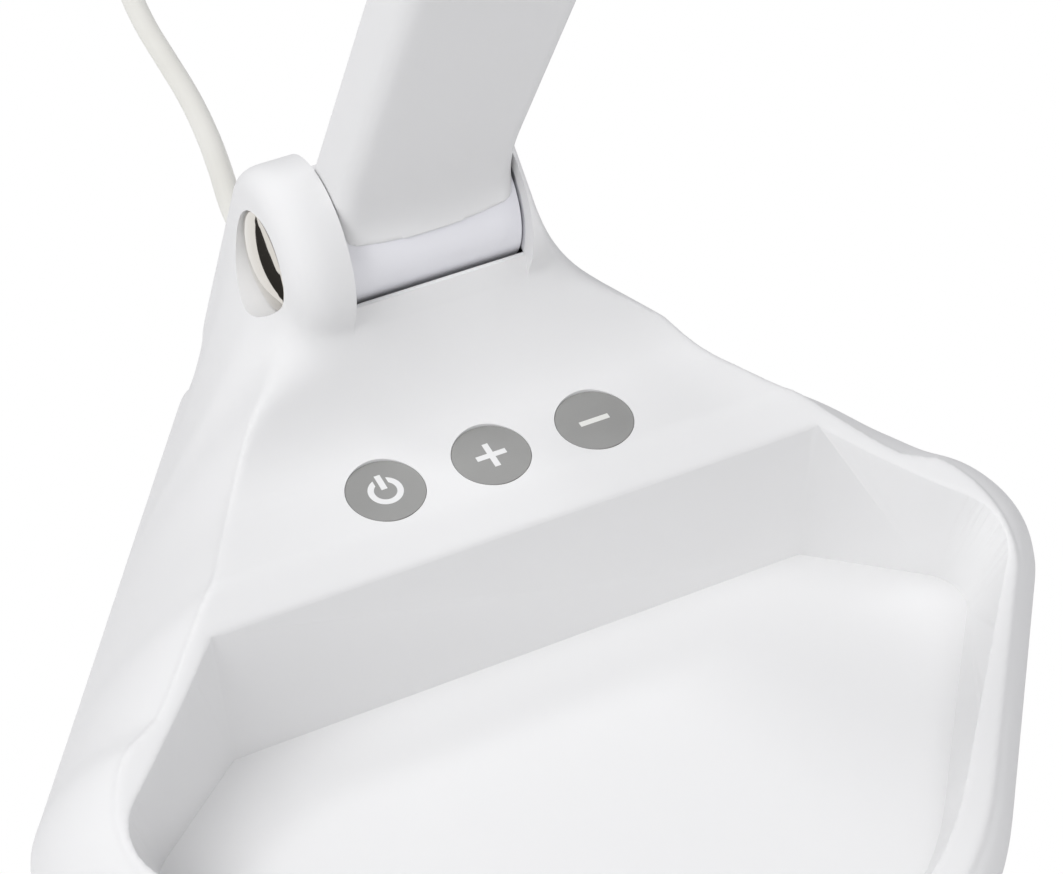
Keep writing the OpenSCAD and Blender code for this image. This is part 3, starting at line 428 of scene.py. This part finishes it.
flare = (SIDE - REAR).normalized()
closing = (FRONT - SIDE).normalized()
nose_half = math.atan2(-closing[0], -closing[1])
nose_c = FRONT + Vector((0, NOSE_R / math.sin(nose_half)))
NOSE_Y = nose_c[1] - NOSE_R - RIM_FRONT


def beside(rear_p, rear_dir, w, r_side, n):
    """Right half of an outline w outside the tray's floor: the side corner and the round front end."""
    q = SIDE + outward(closing) * w
    c = crossing(rear_p, rear_dir, q, closing)
    nose = arc(nose_c, NOSE_R + w, -nose_half, -math.pi / 2, n)
    return rounded(rear_p, c, q + closing * 100, r_side, n) + nose


# %% The ridge and the foot in plan
# In the functions below, d is how far a line lies inside the outer skin: 0 outside, WALL for the hollow.
def wave(x, a, b):
    """One swell between a and b, and 0 elsewhere."""
    return math.sin(math.pi * (x - a) / (b - a)) if a < x < b else 0


def ridge_y(x, d):
    """The ridge beside the key panel: a straight line with two soft swells next to the ear."""
    straight = REAR[1] + (RIM_REAR - d) / flare[0] + (x - REAR[0]) * flare[1] / flare[0]
    return straight + 8.6 * wave(x, 24, 54) + 2 * wave(x, 24, 74) ** 2


foot_back = Vector((BACK_HALF, BACK_Y))
foot_dir = (Vector((FOOT_SIDE, SIDE[1] + FOOT_BEHIND)) - foot_back).normalized()


def foot_line(d, n):
    """Right half of the foot's outline, from the middle of the back to the nose."""
    middle = Vector((0, BACK_Y - d))
    corner = crossing(middle, Vector((1, 0)), foot_back - outward(foot_dir) * d, foot_dir)
    return (rounded(middle, corner, corner + foot_dir * 100, BACK_R - d / 2, 6)
            + beside(corner, foot_dir, RIM_FRONT + FOOT_OUT - d, FOOT_R - d, n))


foot_rows = {d: [(p[1], p[0]) for p in foot_line(d, 24)] for d in (0, WALL)}
print("foot outline:", len(foot_rows[0]), "points")

# %% Heights along the top
panel_slope = math.tan(KEY_TILT)
rise_y = KEY_Y + 1.5
lip_y = HINGE[0] - math.sqrt(SLOT_R ** 2 - (HINGE[1] - LIP_Z) ** 2)
rise = (LIP_Z - KEY_Z - panel_slope * (lip_y - KEY_Y)) / (lip_y - rise_y) ** 3


def panel_z(y):
    """The key panel: an even slope that curves up to the slot's lip, and is level behind it."""
    y = min(y, lip_y)
    return KEY_Z + panel_slope * (y - KEY_Y) + (rise * (y - rise_y) ** 3 if y > rise_y else 0)


# In front of the panel the rim falls to the nose along a cubic curve with these four points.
FALL_Y = KEY_Y - 6.5
f0, f1, f2, f3 = (Vector(p) for p in ((FALL_Y, panel_z(FALL_Y)), (FALL_Y - 5.5, panel_z(FALL_Y - 5.5)),
                                      (FALL_Y - 19.5, RIM_Z + 2.5), (NOSE_Y, RIM_Z)))
fall_rows = [tuple(f0 * (1 - t) ** 3 + f1 * 3 * (1 - t) ** 2 * t + f2 * 3 * (1 - t) * t * t + f3 * t ** 3)
             for t in (i / 60 for i in range(61))]


def top_z(y):
    """The height of the base's top edge at y, whether panel or rim."""
    return panel_z(y) if y >= FALL_Y else table(y, fall_rows)


print("panel at the slot's lip:", round(top_z(lip_y), 1), "mm")

# %% Where the back meets the ear
# The back's line in side view touches the ear's circle, which gives the angle where the ear begins.
back_run = Vector((HINGE[0] - BACK_Y, HINGE[1] - BAND_Z))
back_turn = math.asin(EAR_R / back_run.length)
run_y, run_z = back_run.normalized()
back_dir = Vector((run_y * math.cos(back_turn) + run_z * math.sin(back_turn),
                   run_z * math.cos(back_turn) - run_y * math.sin(back_turn)))
EAR_A0, EAR_A1 = math.atan2(back_dir[1], back_dir[0]) - math.pi / 2, math.radians(211)
EAR_BACK_Z = HINGE[1] + EAR_R * math.sin(EAR_A0)
NECK_FORM, NECK_FRONT_FORM = 0.42, 0.6
NECK_BACK_FOOT, NECK_FRONT_FOOT = 79, 54  # y on the foot below the ear's back and its front
print("ear begins at", round(EAR_BACK_Z, 1), "mm")


# %% One station
def foot_y(y):
    """Where on the foot a line ends that leaves the ridge at y."""
    return y + table(y, [(NOSE_Y, 0), (-60, 1.5), (-28, 5), (5, 13), (33, 20.5)])


def side_form(y):
    """How full the side is below the ridge at y, from 0 for hollow to 1 for full."""
    return table(y, [(NOSE_Y, 0.85), (-20, 0.85), (10, 0.65), (35, NECK_FRONT_FORM)])


def station(start, edge, end, fy, form, d=0):
    """A line over the side: the top rounds down from start to end. Form 0 is a hollow side, 1 a full one."""
    f = min(BACK_Y - d - 0.02, fy)
    foot = Vector((max(end[0] + 0.6, table(f, foot_rows[d])), f, min(BAND_Z, end[2])))
    return Vector(start), Vector(edge), Vector(end), foot, form


# %% Stations of the neck, the ear and the hollow
def back_at(z, d):
    """The back's y at height z."""
    return BACK_Y + back_dir[0] * (z - BAND_Z) / back_dir[1] - d / back_dir[1]


def rear_stations(d, top):
    """Lines that leave the neck's back edge, which draws in by 7 mm over its lowest 26 mm."""
    made = []
    for z in (BAND_Z, 6, 8, 11, 14, 18, 22, 27, 32, 38, 44, 50, 56, 62, 68):
        if z < top - 1:
            y = back_at(z, d)
            share = (z - BAND_Z) / (EAR_BACK_Z - BAND_Z)
            r = mix(0.4, EAR_BACK, share)
            x = EAR_HALF - d - 7 * max(0, 1 - (z - BAND_Z) / 26) ** 2
            inner = min(r, (z - BAND_Z) / 2)
            end = (x, y - inner * back_dir[1], z + inner * back_dir[0])
            made.append(station((x - r, y, z), (x, y, z), end, mix(BACK_Y - d, NECK_BACK_FOOT, share),
                                mix(0.4, NECK_FORM, share), d))
    return made


def ear_stations(n=40):
    """Lines that leave the ear's round edge, which is sharper at its back than in front."""
    made = []
    for i in range(n + 1):
        a = mix(EAR_A0, EAR_A1, i / n)
        way = Vector((0, math.cos(a), math.sin(a)))
        p = Vector((EAR_HALF, *HINGE)) + EAR_R * way
        r = table(math.degrees(a), [(math.degrees(EAR_A0), EAR_BACK), (60, EAR_BACK + 1), (110, EAR_FRONT),
                                    (math.degrees(EAR_A1), EAR_FRONT)])
        made.append(station(p - Vector((r, 0, 0)), p, p - r * way,
                            mix(NECK_BACK_FOOT, NECK_FRONT_FOOT, i / n),
                            mix(NECK_FORM, NECK_FRONT_FORM, i / n)))
    return made


def inner_stations(top):
    """The hollow's stations under the ears, where it ends flat below the hinge."""
    x = EAR_HALF - WALL
    return [station((x - 2, y, top), (x, y, top), (x, y, top - 2), mix(NECK_FRONT_FOOT, 80, (y - 38) / 34),
                    NECK_FORM, WALL)
            for y in (back_at(top, WALL) - 2, 66, 56, 46, 38)]


# %% Stations of the ridge and the rim
def front_station(p, o, r, d, top, forward=0, a=-math.pi / 2):
    """A line that leaves the ridge at p. o is the outward way in plan, r the edge's roundness, and a the
    angle from level at which the side leaves the edge."""
    q, c = p - o * r, min(top, top_z(p[1]) - d)
    return station((*q, min(top, top_z(q[1]) - d)), (*p, c),
                   (p[0], p[1] + r * math.cos(a), c + r * math.sin(a)), foot_y(p[1]) - forward,
                   side_form(p[1]) - (0.15 if d else 0), d)


def flare_stations(d, top):
    """Lines beside the key panel. Within 14 mm of the ear they turn from sideways to square with the ridge,
    and within 7 mm the ear's full round becomes the ridge's small one."""
    made = []
    for x in [0.7, 1.4, 2.2, 3.1, 4] + [5 + 1.5 * k for k in range(27)]:
        t, xx = min(1, x / 14), EAR_HALF - d + x
        turn, crisp = t * t * (3 - 2 * t), min(1, x / 7)
        way = Vector((1, 0)).lerp(outward(flare), turn).normalized()
        angle = -90 if d else mix(math.degrees(EAR_A1) - 180, -90, turn)
        made.append(front_station(Vector((xx, ridge_y(xx, d))), way, mix(EAR_FRONT - d, RIM_EDGE, crisp), d,
                                  top, 3 * math.sin(math.pi * x / 44), math.radians(angle)))
    return made


def side_stations(d, n=24):
    """Lines round the side corner and along the rim to the nose."""
    x = EAR_HALF - d
    line = beside(Vector((x, ridge_y(x, d))), flare, RIM_FRONT - d, RIDGE_R, n)
    made = []
    for i, p in enumerate(line[:-1]):
        way = outward((line[i + 1] - line[max(0, i - 1)]).normalized())
        made.append(front_station(p, way, RIM_EDGE, d, NO_LIMIT))
    return made


# %% The points of a station
SIDE_STEPS, EDGE_STEPS, HOLLOW = 16, 7, 0.85


def side_line(s):
    """The points of a station from the foot at the cover's lower edge to the top."""
    start, edge, end, foot, form = s
    line = [Vector((foot[0], foot[1], COVER_Z))]
    for k in range(SIDE_STEPS + 1):
        t = k / SIDE_STEPS * math.pi / 2
        h = mix(math.sin(t) ** HOLLOW, 1 - math.cos(t), form)
        v = mix(1 - math.cos(t) ** HOLLOW if k < SIDE_STEPS else 1, math.sin(t), form)
        line.append(Vector((mix(foot[0], end[0], h), mix(foot[1], end[1], h), mix(foot[2], end[2], v))))
    for k in range(1, EDGE_STEPS + 1):
        t = k / EDGE_STEPS
        line.append(end * (1 - t) ** 2 + edge * 2 * t * (1 - t) + start * t * t)
    return line


# %% From stations to closed solids
def loft(name, stations, nose_y, nose_z, low):
    """A closed solid through lines that run from the left foot over the top to the right foot."""
    rings = []
    for s in stations:
        side = side_line(s)
        side[0][2] = low
        rings.append([Vector((-p[0], p[1], p[2])) for p in side] + side[::-1])
    m, last = len(rings[0]), (len(rings) - 1) * len(rings[0])
    nose, toe = len(rings) * m, len(rings) * m + 1
    points = [p * MM for r in rings for p in r]
    points += [mm(0, nose_y, nose_z), mm(0, nose_y - FOOT_OUT - RIM_EDGE, low)]
    faces = [(i * m + j, i * m + j + 1, (i + 1) * m + j + 1, (i + 1) * m + j)
             for i in range(len(rings) - 1) for j in range(m - 1)]
    faces += [(i * m, (i + 1) * m, (i + 1) * m + m - 1, i * m + m - 1) for i in range(len(rings) - 1)]
    faces += [tuple(range(m - 1, -1, -1))]
    half = m // 2
    faces += [(last + j, last + j + 1, toe) for j in range(half - 1)]
    faces += [(last + j, last + j + 1, toe) for j in range(half, m - 1)]
    faces += [(last + half - 1, last + half, nose), (last + half - 1, nose, toe), (last + half, toe, nose),
              (last, toe, last + m - 1)]
    return face_outwards(from_points(name, points, [], faces), merge=True)


front_edge = flare_stations(0, NO_LIMIT) + side_stations(0)
cover = loft("base_cover", rear_stations(0, EAR_BACK_Z) + ear_stations() + front_edge, NOSE_Y + RIM_EDGE,
             RIM_Z, COVER_Z)
report(cover)


# %% Cutters and the cut itself
def cut(obj, tool, operation="DIFFERENCE"):
    """Cuts tool out of obj, or keeps what both share, and removes the tool."""
    m = obj.modifiers.new("cut", "BOOLEAN")
    m.object, m.operation, m.solver = tool, operation, "MANIFOLD"
    apply_modifiers(obj)
    bpy.data.objects.remove(tool)


def box(name, low, high):
    """A block between two corners."""
    bpy.ops.mesh.primitive_cube_add(size=1, location=(Vector(low) + Vector(high)) / 2 * MM)
    obj = take(name)
    obj.dimensions = (Vector(high) - Vector(low)) * MM
    settle(obj)
    return obj


def disc(name, radius, low, high):
    """A round plate about the z axis."""
    bpy.ops.mesh.primitive_cylinder_add(vertices=96, radius=radius * MM, depth=(high - low) * MM,
                                        location=mm(0, 0, (low + high) / 2))
    obj = take(name)
    settle(obj)
    return obj


def rod(name, radius, x0, x1, y=HINGE[0], z=HINGE[1], vertices=96):
    """A round bar along X."""
    bpy.ops.mesh.primitive_cylinder_add(vertices=vertices, radius=radius * MM, depth=(x1 - x0) * MM,
                                        location=mm((x0 + x1) / 2, y, z), rotation=(0, math.pi / 2, 0))
    obj = take(name)
    settle(obj)
    return obj


def prism(name, outlines):
    """A closed solid between outlines of equal counts, each a height and its points in plan."""
    n = len(outlines[0][1])
    points = [mm(p[0], p[1], z) for z, line in outlines for p in line]
    faces = [tuple(reversed(range(n))), tuple(range(len(points) - n, len(points)))]
    faces += [(k * n + i, k * n + (i + 1) % n, (k + 1) * n + (i + 1) % n, (k + 1) * n + i)
              for k in range(len(outlines) - 1) for i in range(n)]
    return face_outwards(from_points(name, points, [], faces))


def across(name, line, half):
    """A solid of one side profile, points of y and z, between x -half and half."""
    upright = Matrix(((0, 0, 1, 0), (1, 0, 0, 0), (0, 1, 0, 0), (0, 0, 0, 1)))
    return place(prism(name, [(-half, line), (half, line)]), upright)


# %% The tray and the scooped ear, roughly
TRAY_Z = 5.5


def tray_outline(rear_w, front_w, r, grow=0, n=12):
    """The tray's outline, moved outwards by rear_w beside the key panel's flanks and front_w elsewhere."""
    corner = crossing(Vector((0, REAR[1] + grow)), Vector((1, 0)),
                      REAR + outward(flare) * (rear_w + grow), flare)
    half = [corner] + beside(corner, flare, front_w + grow, r + grow, n)
    return half + [Vector((-p[0], p[1])) for p in reversed(half)]


def tray(name, grow=0, floor_z=TRAY_Z):
    """The tray as a solid, whose walls lean outwards to above the key panel."""
    return prism(name, [(floor_z, tray_outline(0, 0, 8, grow)), (KEY_Z + 4, tray_outline(1.4, 15, 12, grow))])


cut(cover, tray("rough_tray", -0.12, TRAY_Z + 0.3))
SCOOP_AT, SCOOP_TURN, SCOOP_TILT, SCOOP_R = mm(17.2, 36.8, 83.6), math.radians(-26.6), math.radians(51.1), 21
scoop_line = rounded(Vector((-1.8, 5)), Vector((5.4, -15)), Vector((24.6, -26.4)), SCOOP_R, 20)
scoop_line = [Vector((-16, 45))] + scoop_line + [Vector((66, -48)), Vector((66, 45))]
scoop = place(prism("scoop", [(-60, scoop_line), (120, scoop_line)]),
              Matrix.Translation(SCOOP_AT) @ Matrix.Rotation(SCOOP_TURN, 4, "Z")
              @ Matrix.Rotation(SCOOP_TILT, 4, "X"))
cut(cover, scoop)
report(cover)

# %% [markdown]
# The rim, the panel's front edge and the ears are well rounded, but the tray's floor meets its walls in a
# crisp line. The solid is cut to shape, remeshed into small even faces and smoothed, which rounds every
# edge. Then the tray is cut once more, a little larger, which clears the inner corners and leaves the outer
# edges round. Bevels would have to find their way round each cut.

# %% Small even faces
def remesh(obj, grain):
    """Rebuilds a solid from even faces about so many millimetres wide."""
    m = obj.modifiers.new("remesh", "REMESH")
    m.mode, m.voxel_size, m.use_smooth_shade = "VOXEL", grain * MM, True
    apply_modifiers(obj)


def relax(obj, times, group=""):
    """Smooths a mesh so many times, all of it or a vertex group."""
    m = obj.modifiers.new("relax", "SMOOTH")
    m.factor, m.iterations, m.vertex_group = 0.5, times, group
    apply_modifiers(obj)


def thin_out(obj, share):
    """Leaves so large a share of a mesh's faces."""
    m = obj.modifiers.new("thin_out", "DECIMATE")
    m.ratio = share
    apply_modifiers(obj)


remesh(cover, 0.6)
report(cover)

# %% [markdown]
# Some places need far more smoothing than the edges bear, so that they flow: the fold in front of each ear,
# and the flanks, up to a few millimetres from the ridge. A little of it also softens the brow between the
# key panel and the tray. A vertex group holds how much each point gets. A search tree of points on the ridge
# tells how near the ridge is.

# %% How much each point gives way
FOLD, FOLD_R = mm(27.5, 31.5, 60.5), 16
BROW, BROW_R, BROW_SHARE = mm(0, REAR[1] + 0.5, top_z(REAR[1]) - 0.5), 5, 0.16
RIDGE_KEPT, RIDGE_FADE = 3, 5
FLANK_X, FLANK_Z, FLANK_WAY = 28, 7, 0.2
STEPS_BETWEEN = 8
ridge = [s[1] for s in ear_stations() + front_edge]
near_ridge = KDTree(STEPS_BETWEEN * len(ridge))
for i, (a, b) in enumerate(zip(ridge, ridge[1:])):
    for k in range(STEPS_BETWEEN):
        near_ridge.insert(a.lerp(b, k / STEPS_BETWEEN) * MM, STEPS_BETWEEN * i + k)
near_ridge.balance()


def give(at, way):
    """The share for a point of the right half whose normal's x is way."""
    away = (at - FOLD).length / (FOLD_R * MM)
    share = (1 - away * away) ** 2 if away < 1 else 0
    if way > FLANK_WAY and at[0] > FLANK_X * MM and at[2] > FLANK_Z * MM:
        share = max(share, min(1, max(0, near_ridge.find(at)[2] / MM - RIDGE_KEPT) / RIDGE_FADE))
    beyond = Vector((max(0, at[0] - REAR[0] * MM), at[1], at[2]))
    brow = (beyond - BROW).length / MM
    return max(share, BROW_SHARE * (1 - brow / BROW_R)) if brow < BROW_R else share


easy = cover.vertex_groups.new(name="easy")
for v in cover.data.vertices:
    right_side = v.co[0] > 0
    share = give(Vector((abs(v.co[0]), v.co[1], v.co[2])), v.normal[0] if right_side else -v.normal[0])
    if share:
        easy.add([v.index], share, "REPLACE")

# %% Round all edges, then cut the tray crisp
relax(cover, 150, "easy")
relax(cover, 5)
thin_out(cover, 0.5)
cut(cover, tray("tray"))
report(cover)

# %% [markdown]
# The slot between the ears has crisp sides that the hinge's barrel just clears: a round cut for the barrel,
# a ramp that carries the key panel's slope on to it, and an open back. A thin rod joined on along the front
# lip makes it a round bead.

# %% Slot
SLOT_HALF = 16.6
cut(cover, rod("slot", SLOT_R, -SLOT_HALF, SLOT_HALF))
clear_of_panel = ((28, 1), (29.5, 0.3), (31, 0.04), (32.5, 0), (lip_y, 0), (HINGE[0], 0))
ramp_line = [Vector((y, panel_z(y) + gap)) for y, gap in clear_of_panel]
cut(cover, across("slot_front", ramp_line + [Vector((HINGE[0], 110)), Vector((28, 110))], SLOT_HALF))
cut(cover, box("slot_back", (-SLOT_HALF, HINGE[0] - 1, HINGE[1] + 4),
               (SLOT_HALF, HINGE[0] + 32, HINGE[1] + 32)))

# %% Hollow
ROOM_Z = 50  # the hollow ends here, below the hinge
room_lines = (rear_stations(WALL, ROOM_Z) + inner_stations(ROOM_Z) + flare_stations(WALL, ROOM_Z)
              + side_stations(WALL))
room = loft("room", room_lines, NOSE_Y + RIM_EDGE + WALL, RIM_Z - WALL, COVER_Z - 1)
cut(room, tray("tray_wall", WALL - 0.4, TRAY_Z - 2))
cut(room, box("panel_wall", (-REAR[0], 0, KEY_Z - 3.8), (REAR[0], 28, KEY_Z + 8)))
cut(cover, room)
report(cover)

# %% Cap seat, key wells and lip bead
CAP_R, CAP_X = 9.1, 25.6
KEY_PITCH, WELL_R = 20, 7.02
BEAD_R, BEAD_Y, BEAD_Z = 0.65, 34.74, 65.85


def on_panel(x):
    """The matrix that lays a piece made round 0 on the key panel at x."""
    return Matrix.Translation(mm(x, KEY_Y, KEY_Z)) @ Matrix.Rotation(KEY_TILT, 4, "X")


cut(cover, rod("cap_seat", CAP_R, -EAR_HALF - 12, -CAP_X))
for x in (-KEY_PITCH, 0, KEY_PITCH):
    cut(cover, place(disc("key_well", WELL_R, -1.2, 4.8), on_panel(x)))
cut(cover, rod("lip_bead", BEAD_R, -SLOT_HALF, SLOT_HALF, BEAD_Y, BEAD_Z, 24), "UNION")
soften(cover, 40)
cover.data.materials.append(gloss_abs)
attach(cover, "base")
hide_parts("base_top_cover")
report(cover)

# %% [markdown]
# ## The signs on the keys
# Each touch key is a grey film with its sign left pale. On the real film the sign is printed; here it is a
# thin inlay that fills the shallow sign in the key, 0.02 mm proud, so that its edges stay crisp.

# %% Printed signs
SIGN_W, SIGN_LEN, SIGN_R, SIGN_Z = 1.1, 5.6, 3.1, (-0.2, 0.02)


def sign(name, x, pieces):
    """Joins pieces that lie flat round 0 into one sign and lays it on the key at x."""
    first = pieces[0]
    for other in pieces[1:]:
        cut(first, other, "UNION")
    first.name = first.data.name = name
    place(first, on_panel(x))
    first.data.materials.append(key_sign)
    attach(first, "base")
    report(first)


def bar(upright=False):
    """One stroke of a plus or minus sign."""
    a, b = SIGN_LEN / 2, SIGN_W / 2
    x, y = (b, a) if upright else (a, b)
    return box("bar", (-x, -y, SIGN_Z[0]), (x, y, SIGN_Z[1]))


ring = disc("ring", SIGN_R, *SIGN_Z)
cut(ring, disc("ring_hole", SIGN_R - SIGN_W, -2, 2))
cut(ring, box("ring_gap", (-1.2, 0, -2), (1.2, 5, 2)))
stem = box("stem", (-SIGN_W / 2, 0.4, SIGN_Z[0]), (SIGN_W / 2, 3.8, SIGN_Z[1]))
sign("power_sign", -KEY_PITCH, [ring, stem])
sign("plus_sign", 0, [bar(), bar(upright=True)])
sign("minus_sign", KEY_PITCH, [bar()])

# %% [markdown]
# ## The hinge's cap
# A pressed and nickel-plated button in the left ear. Its profile is a low dome with a small round edge,
# spun about the hinge's axis, as a press would draw it. The plate is a mirror, so its shape has to be even.

# %% Cap
CAP_EDGE, CAP_DOME, CAP_RISE, CAP_GAP = 0.5, 1.8, 1.4, 0.1
side_r = CAP_R - CAP_GAP
dome_r = (side_r ** 2 + CAP_DOME ** 2) / (2 * CAP_DOME)
profile = [(side_r, CAP_GAP), (side_r, CAP_RISE - CAP_EDGE)]  # radius and height above the seat
profile += [(side_r - CAP_EDGE * (1 - math.cos(a)), CAP_RISE - CAP_EDGE + CAP_EDGE * math.sin(a))
            for a in (math.radians(15 * k) for k in range(1, 6))]
profile += [(r, CAP_RISE - 0.12 + math.sqrt(dome_r ** 2 - r * r) - dome_r + CAP_DOME)
            for r in (8, 7.5, 6.5, 5.5, 4.5, 3.5, 2.5, 1.5, 0.7, 0)]
hinge_cap = from_points("hinge_cap", [mm(-CAP_X - h, HINGE[0], HINGE[1] + r) for r, h in profile],
                        [(i, i + 1) for i in range(len(profile) - 1)], [])
choose(hinge_cap)
bpy.ops.object.mode_set(mode="EDIT")
bpy.ops.mesh.select_all(action="SELECT")
bpy.ops.mesh.spin(steps=96, angle=math.tau, center=mm(0, *HINGE), axis=(1, 0, 0))
face_outwards(hinge_cap, merge=True, triangles=False)
soften(hinge_cap, 40)
hinge_cap.data.materials.append(nickel)
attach(hinge_cap, "base")
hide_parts("lower_cap_left")
report(hinge_cap)

# %% [markdown]
# ## The arm's front shell
# A long channel moulding. Its front edges are well rounded, its rear edges are square, and at the foot its
# front laps down over the hinge's barrel in a thin tongue with round corners. Sections stacked along the arm
# give the bar and its lap, and an outline seen along the barrel's radius trims the tongue. The solid is
# rounded as the base is, and then the barrel's clearance and the channel are cut, which leaves them crisp.

# %% Arm shell
ARM_HALF, ARM_FRONT, ARM_REAR, ARM_TOP, ARM_WALL, ARM_EDGE = 16.3, -2.4, 8.2, 286, 2, 3.2
BARREL_R, LEAN = 12, math.radians(27.3)


def arm_section(front):
    """The arm's outline in plan: square behind, rounded in front."""
    rear, side = Vector((ARM_HALF, ARM_REAR)), Vector((ARM_HALF, front))
    half = [rear] + rounded(rear, side, Vector((0, front)), ARM_EDGE, 12)
    return half + [Vector((-p[0], p[1])) for p in reversed(half)]


# The lap's side line, y and z: from the tip in a curve up to the arm's flat front.
LAP_STEPS = 14
lap_tip, lap_bend, lap_end = Vector((-7.8, 10)), Vector((ARM_FRONT, 12.4)), Vector((ARM_FRONT, 26))
lap = [lap_tip * (1 - t) ** 2 + lap_bend * 2 * t * (1 - t) + lap_end * t * t
       for t in (i / LAP_STEPS for i in range(LAP_STEPS + 1))]
shell = prism("arm_shell", [(0, arm_section(lap_tip[0]))] + [(z, arm_section(y)) for y, z in lap]
              + [(ARM_TOP, arm_section(ARM_FRONT))])
report(shell)

# %% Trim the tongue
TRIM_TURN, TRIM_HALF = math.radians(28), 16.4
# Half the tongue's edge: how far from the middle, and how far down the barrel.
tongue_edge = [(TRIM_HALF, -3.7), (15.9, -1.1), (15.3, 0.3), (13.9, 0.95), (11.5, 1.35), (8, 1.75), (4, 2.05),
               (0, 2.12)]
trim_line = ([Vector((TRIM_HALF, 200))] + [Vector((x, -down)) for x, down in tongue_edge]
             + [Vector((-x, -down)) for x, down in reversed(tongue_edge[:-1])] + [Vector((-TRIM_HALF, 200))])
trim = place(prism("trim", [(-8, trim_line), (400, trim_line)]), Matrix.Rotation(TRIM_TURN, 4, "X"))
cut(shell, trim, "INTERSECT")
report(shell)

# %% Round the shell, then cut it crisp
remesh(shell, 0.5)
relax(shell, 4)
thin_out(shell, 0.4)
AROUND = 40  # past the shell on every side
cut(shell, box("square_back", (-AROUND, ARM_REAR - 0.4, -AROUND),
               (AROUND, ARM_REAR + AROUND, ARM_TOP + AROUND)))
cut(shell, box("square_top", (-AROUND, -AROUND, ARM_TOP - 0.4), (AROUND, AROUND, ARM_TOP + AROUND)))
cut(shell, box("channel", (-ARM_HALF + ARM_WALL, ARM_FRONT + ARM_WALL, -1),
               (ARM_HALF - ARM_WALL, ARM_REAR + 1, ARM_TOP + 1)))
cut(shell, rod("barrel_room", BARREL_R + 0.08, -AROUND, AROUND, 0, 0, 192))
cut(shell, box("foot_room", (-AROUND, -6, -AROUND), (AROUND, 20, 2)))
# So far z runs along the arm and y points behind it. Now it takes its place on the hinge.
place(shell, Matrix.Translation(mm(0, *HINGE)) @ Matrix.Rotation(LEAN, 4, "X"))
soften(shell, 30)
shell.data.materials.append(polished_abs)
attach(shell, "arm")
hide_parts("arm_front_shell")
report(shell)

# %% [markdown]
# ## Floor and light
# A plain white floor bounces light on to the lamp, and the camera and mirrors see it as an even white, with
# no shadow on it. The world gives an even fill. Softboxes on the left, on the right and in front leave what
# faces up brightest and what faces forwards a shade darker, and a small one behind draws the thin bright line
# along the ridge. A dark card on the floor, which only mirrors see, gives the hinge's cap something to
# reflect.

# %% Floor
WHITE = (1, 1, 1, 1)


def any_ray(tree, *kinds):
    """A socket that is 1 for the kinds of ray named, so that they alone meet plain white."""
    path = add(tree, "ShaderNodeLightPath")
    seen = path.outputs[f"Is {kinds[0]} Ray"]
    for kind in kinds[1:]:
        seen = add(tree, "ShaderNodeMath", {0: seen, 1: path.outputs[f"Is {kind} Ray"]},
                   operation="MAXIMUM").outputs[0]
    return seen


deselect()
bpy.ops.mesh.primitive_plane_add(size=1.6, location=(0, 0, -0.0005))
floor = take("studio_floor")
floor_paint, tree, bsdf = new_material("white_studio_floor", Roughness=0.9)
bsdf.inputs["Base Color"].default_value = linear("#e8e8e8")
seen = any_ray(tree, "Camera", "Glossy", "Transmission")
glow = add(tree, "ShaderNodeEmission", Strength=1.0, Color=WHITE)
mixed = add(tree, "ShaderNodeMixShader", {0: seen, 1: bsdf.outputs[0], 2: glow.outputs[0]})
tree.links.new(mixed.outputs[0], tree.nodes["Material Output"].inputs[0])
floor.data.materials.append(floor_paint)

# %% World
world = bpy.data.worlds.new("studio")
bpy.context.scene.world = world
world.use_nodes = True
tree = world.node_tree
tree.nodes.clear()
seen = any_ray(tree, "Camera", "Transmission")
fill = add(tree, "ShaderNodeBackground", Strength=0.46, Color=linear("#f4f4f8"))
white = add(tree, "ShaderNodeBackground", Strength=1.0, Color=WHITE)
mixed = add(tree, "ShaderNodeMixShader", {0: seen, 1: fill.outputs[0], 2: white.outputs[0]})
add(tree, "ShaderNodeOutputWorld", {0: mixed.outputs[0]})
bpy.context.scene.view_settings.view_transform = "Standard"


# %% Lamps
def lamp(name, at, aim, width, height, watts):
    bpy.ops.object.light_add(type="AREA", location=at)
    light = take(name)
    light.data.shape = "RECTANGLE"
    light.data.size, light.data.size_y = width, height
    light.data.energy = watts
    light.rotation_euler = (Vector(aim) - Vector(at)).to_track_quat("-Z", "Y").to_euler()
    return light


lamp("left_softbox", (-1.2, -0.3, 1.35), (0, 0, 0.05), 0.9, 0.9, 14.5)
lamp("right_softbox", (0.75, -0.3, 1.75), (0, 0, 0.05), 0.9, 0.9, 6.5)
lamp("front_softbox", (-0.2, -1.7, 0.9), (0, 0, 0.05), 1.0, 1.0, 5.5)
lamp("ridge_light", (-0.64, 0.72, 1.52), (0, 0, 0.05), 0.3, 0.3, 4)

# %% Dark card for the cap's mirror
deselect()
bpy.ops.mesh.primitive_plane_add(size=1, location=mm(-150, 150, 1), rotation=(0, 0, math.radians(24)))
card = take("dark_card")
card.dimensions = mm(70, 260, 0)
settle(card)
card_paint, tree, bsdf = new_material("black_card", Roughness=0.9)
bsdf.inputs["Base Color"].default_value = linear("#1c1814")
card.data.materials.append(card_paint)
card.visible_camera = card.visible_diffuse = card.visible_shadow = card.visible_transmission = False
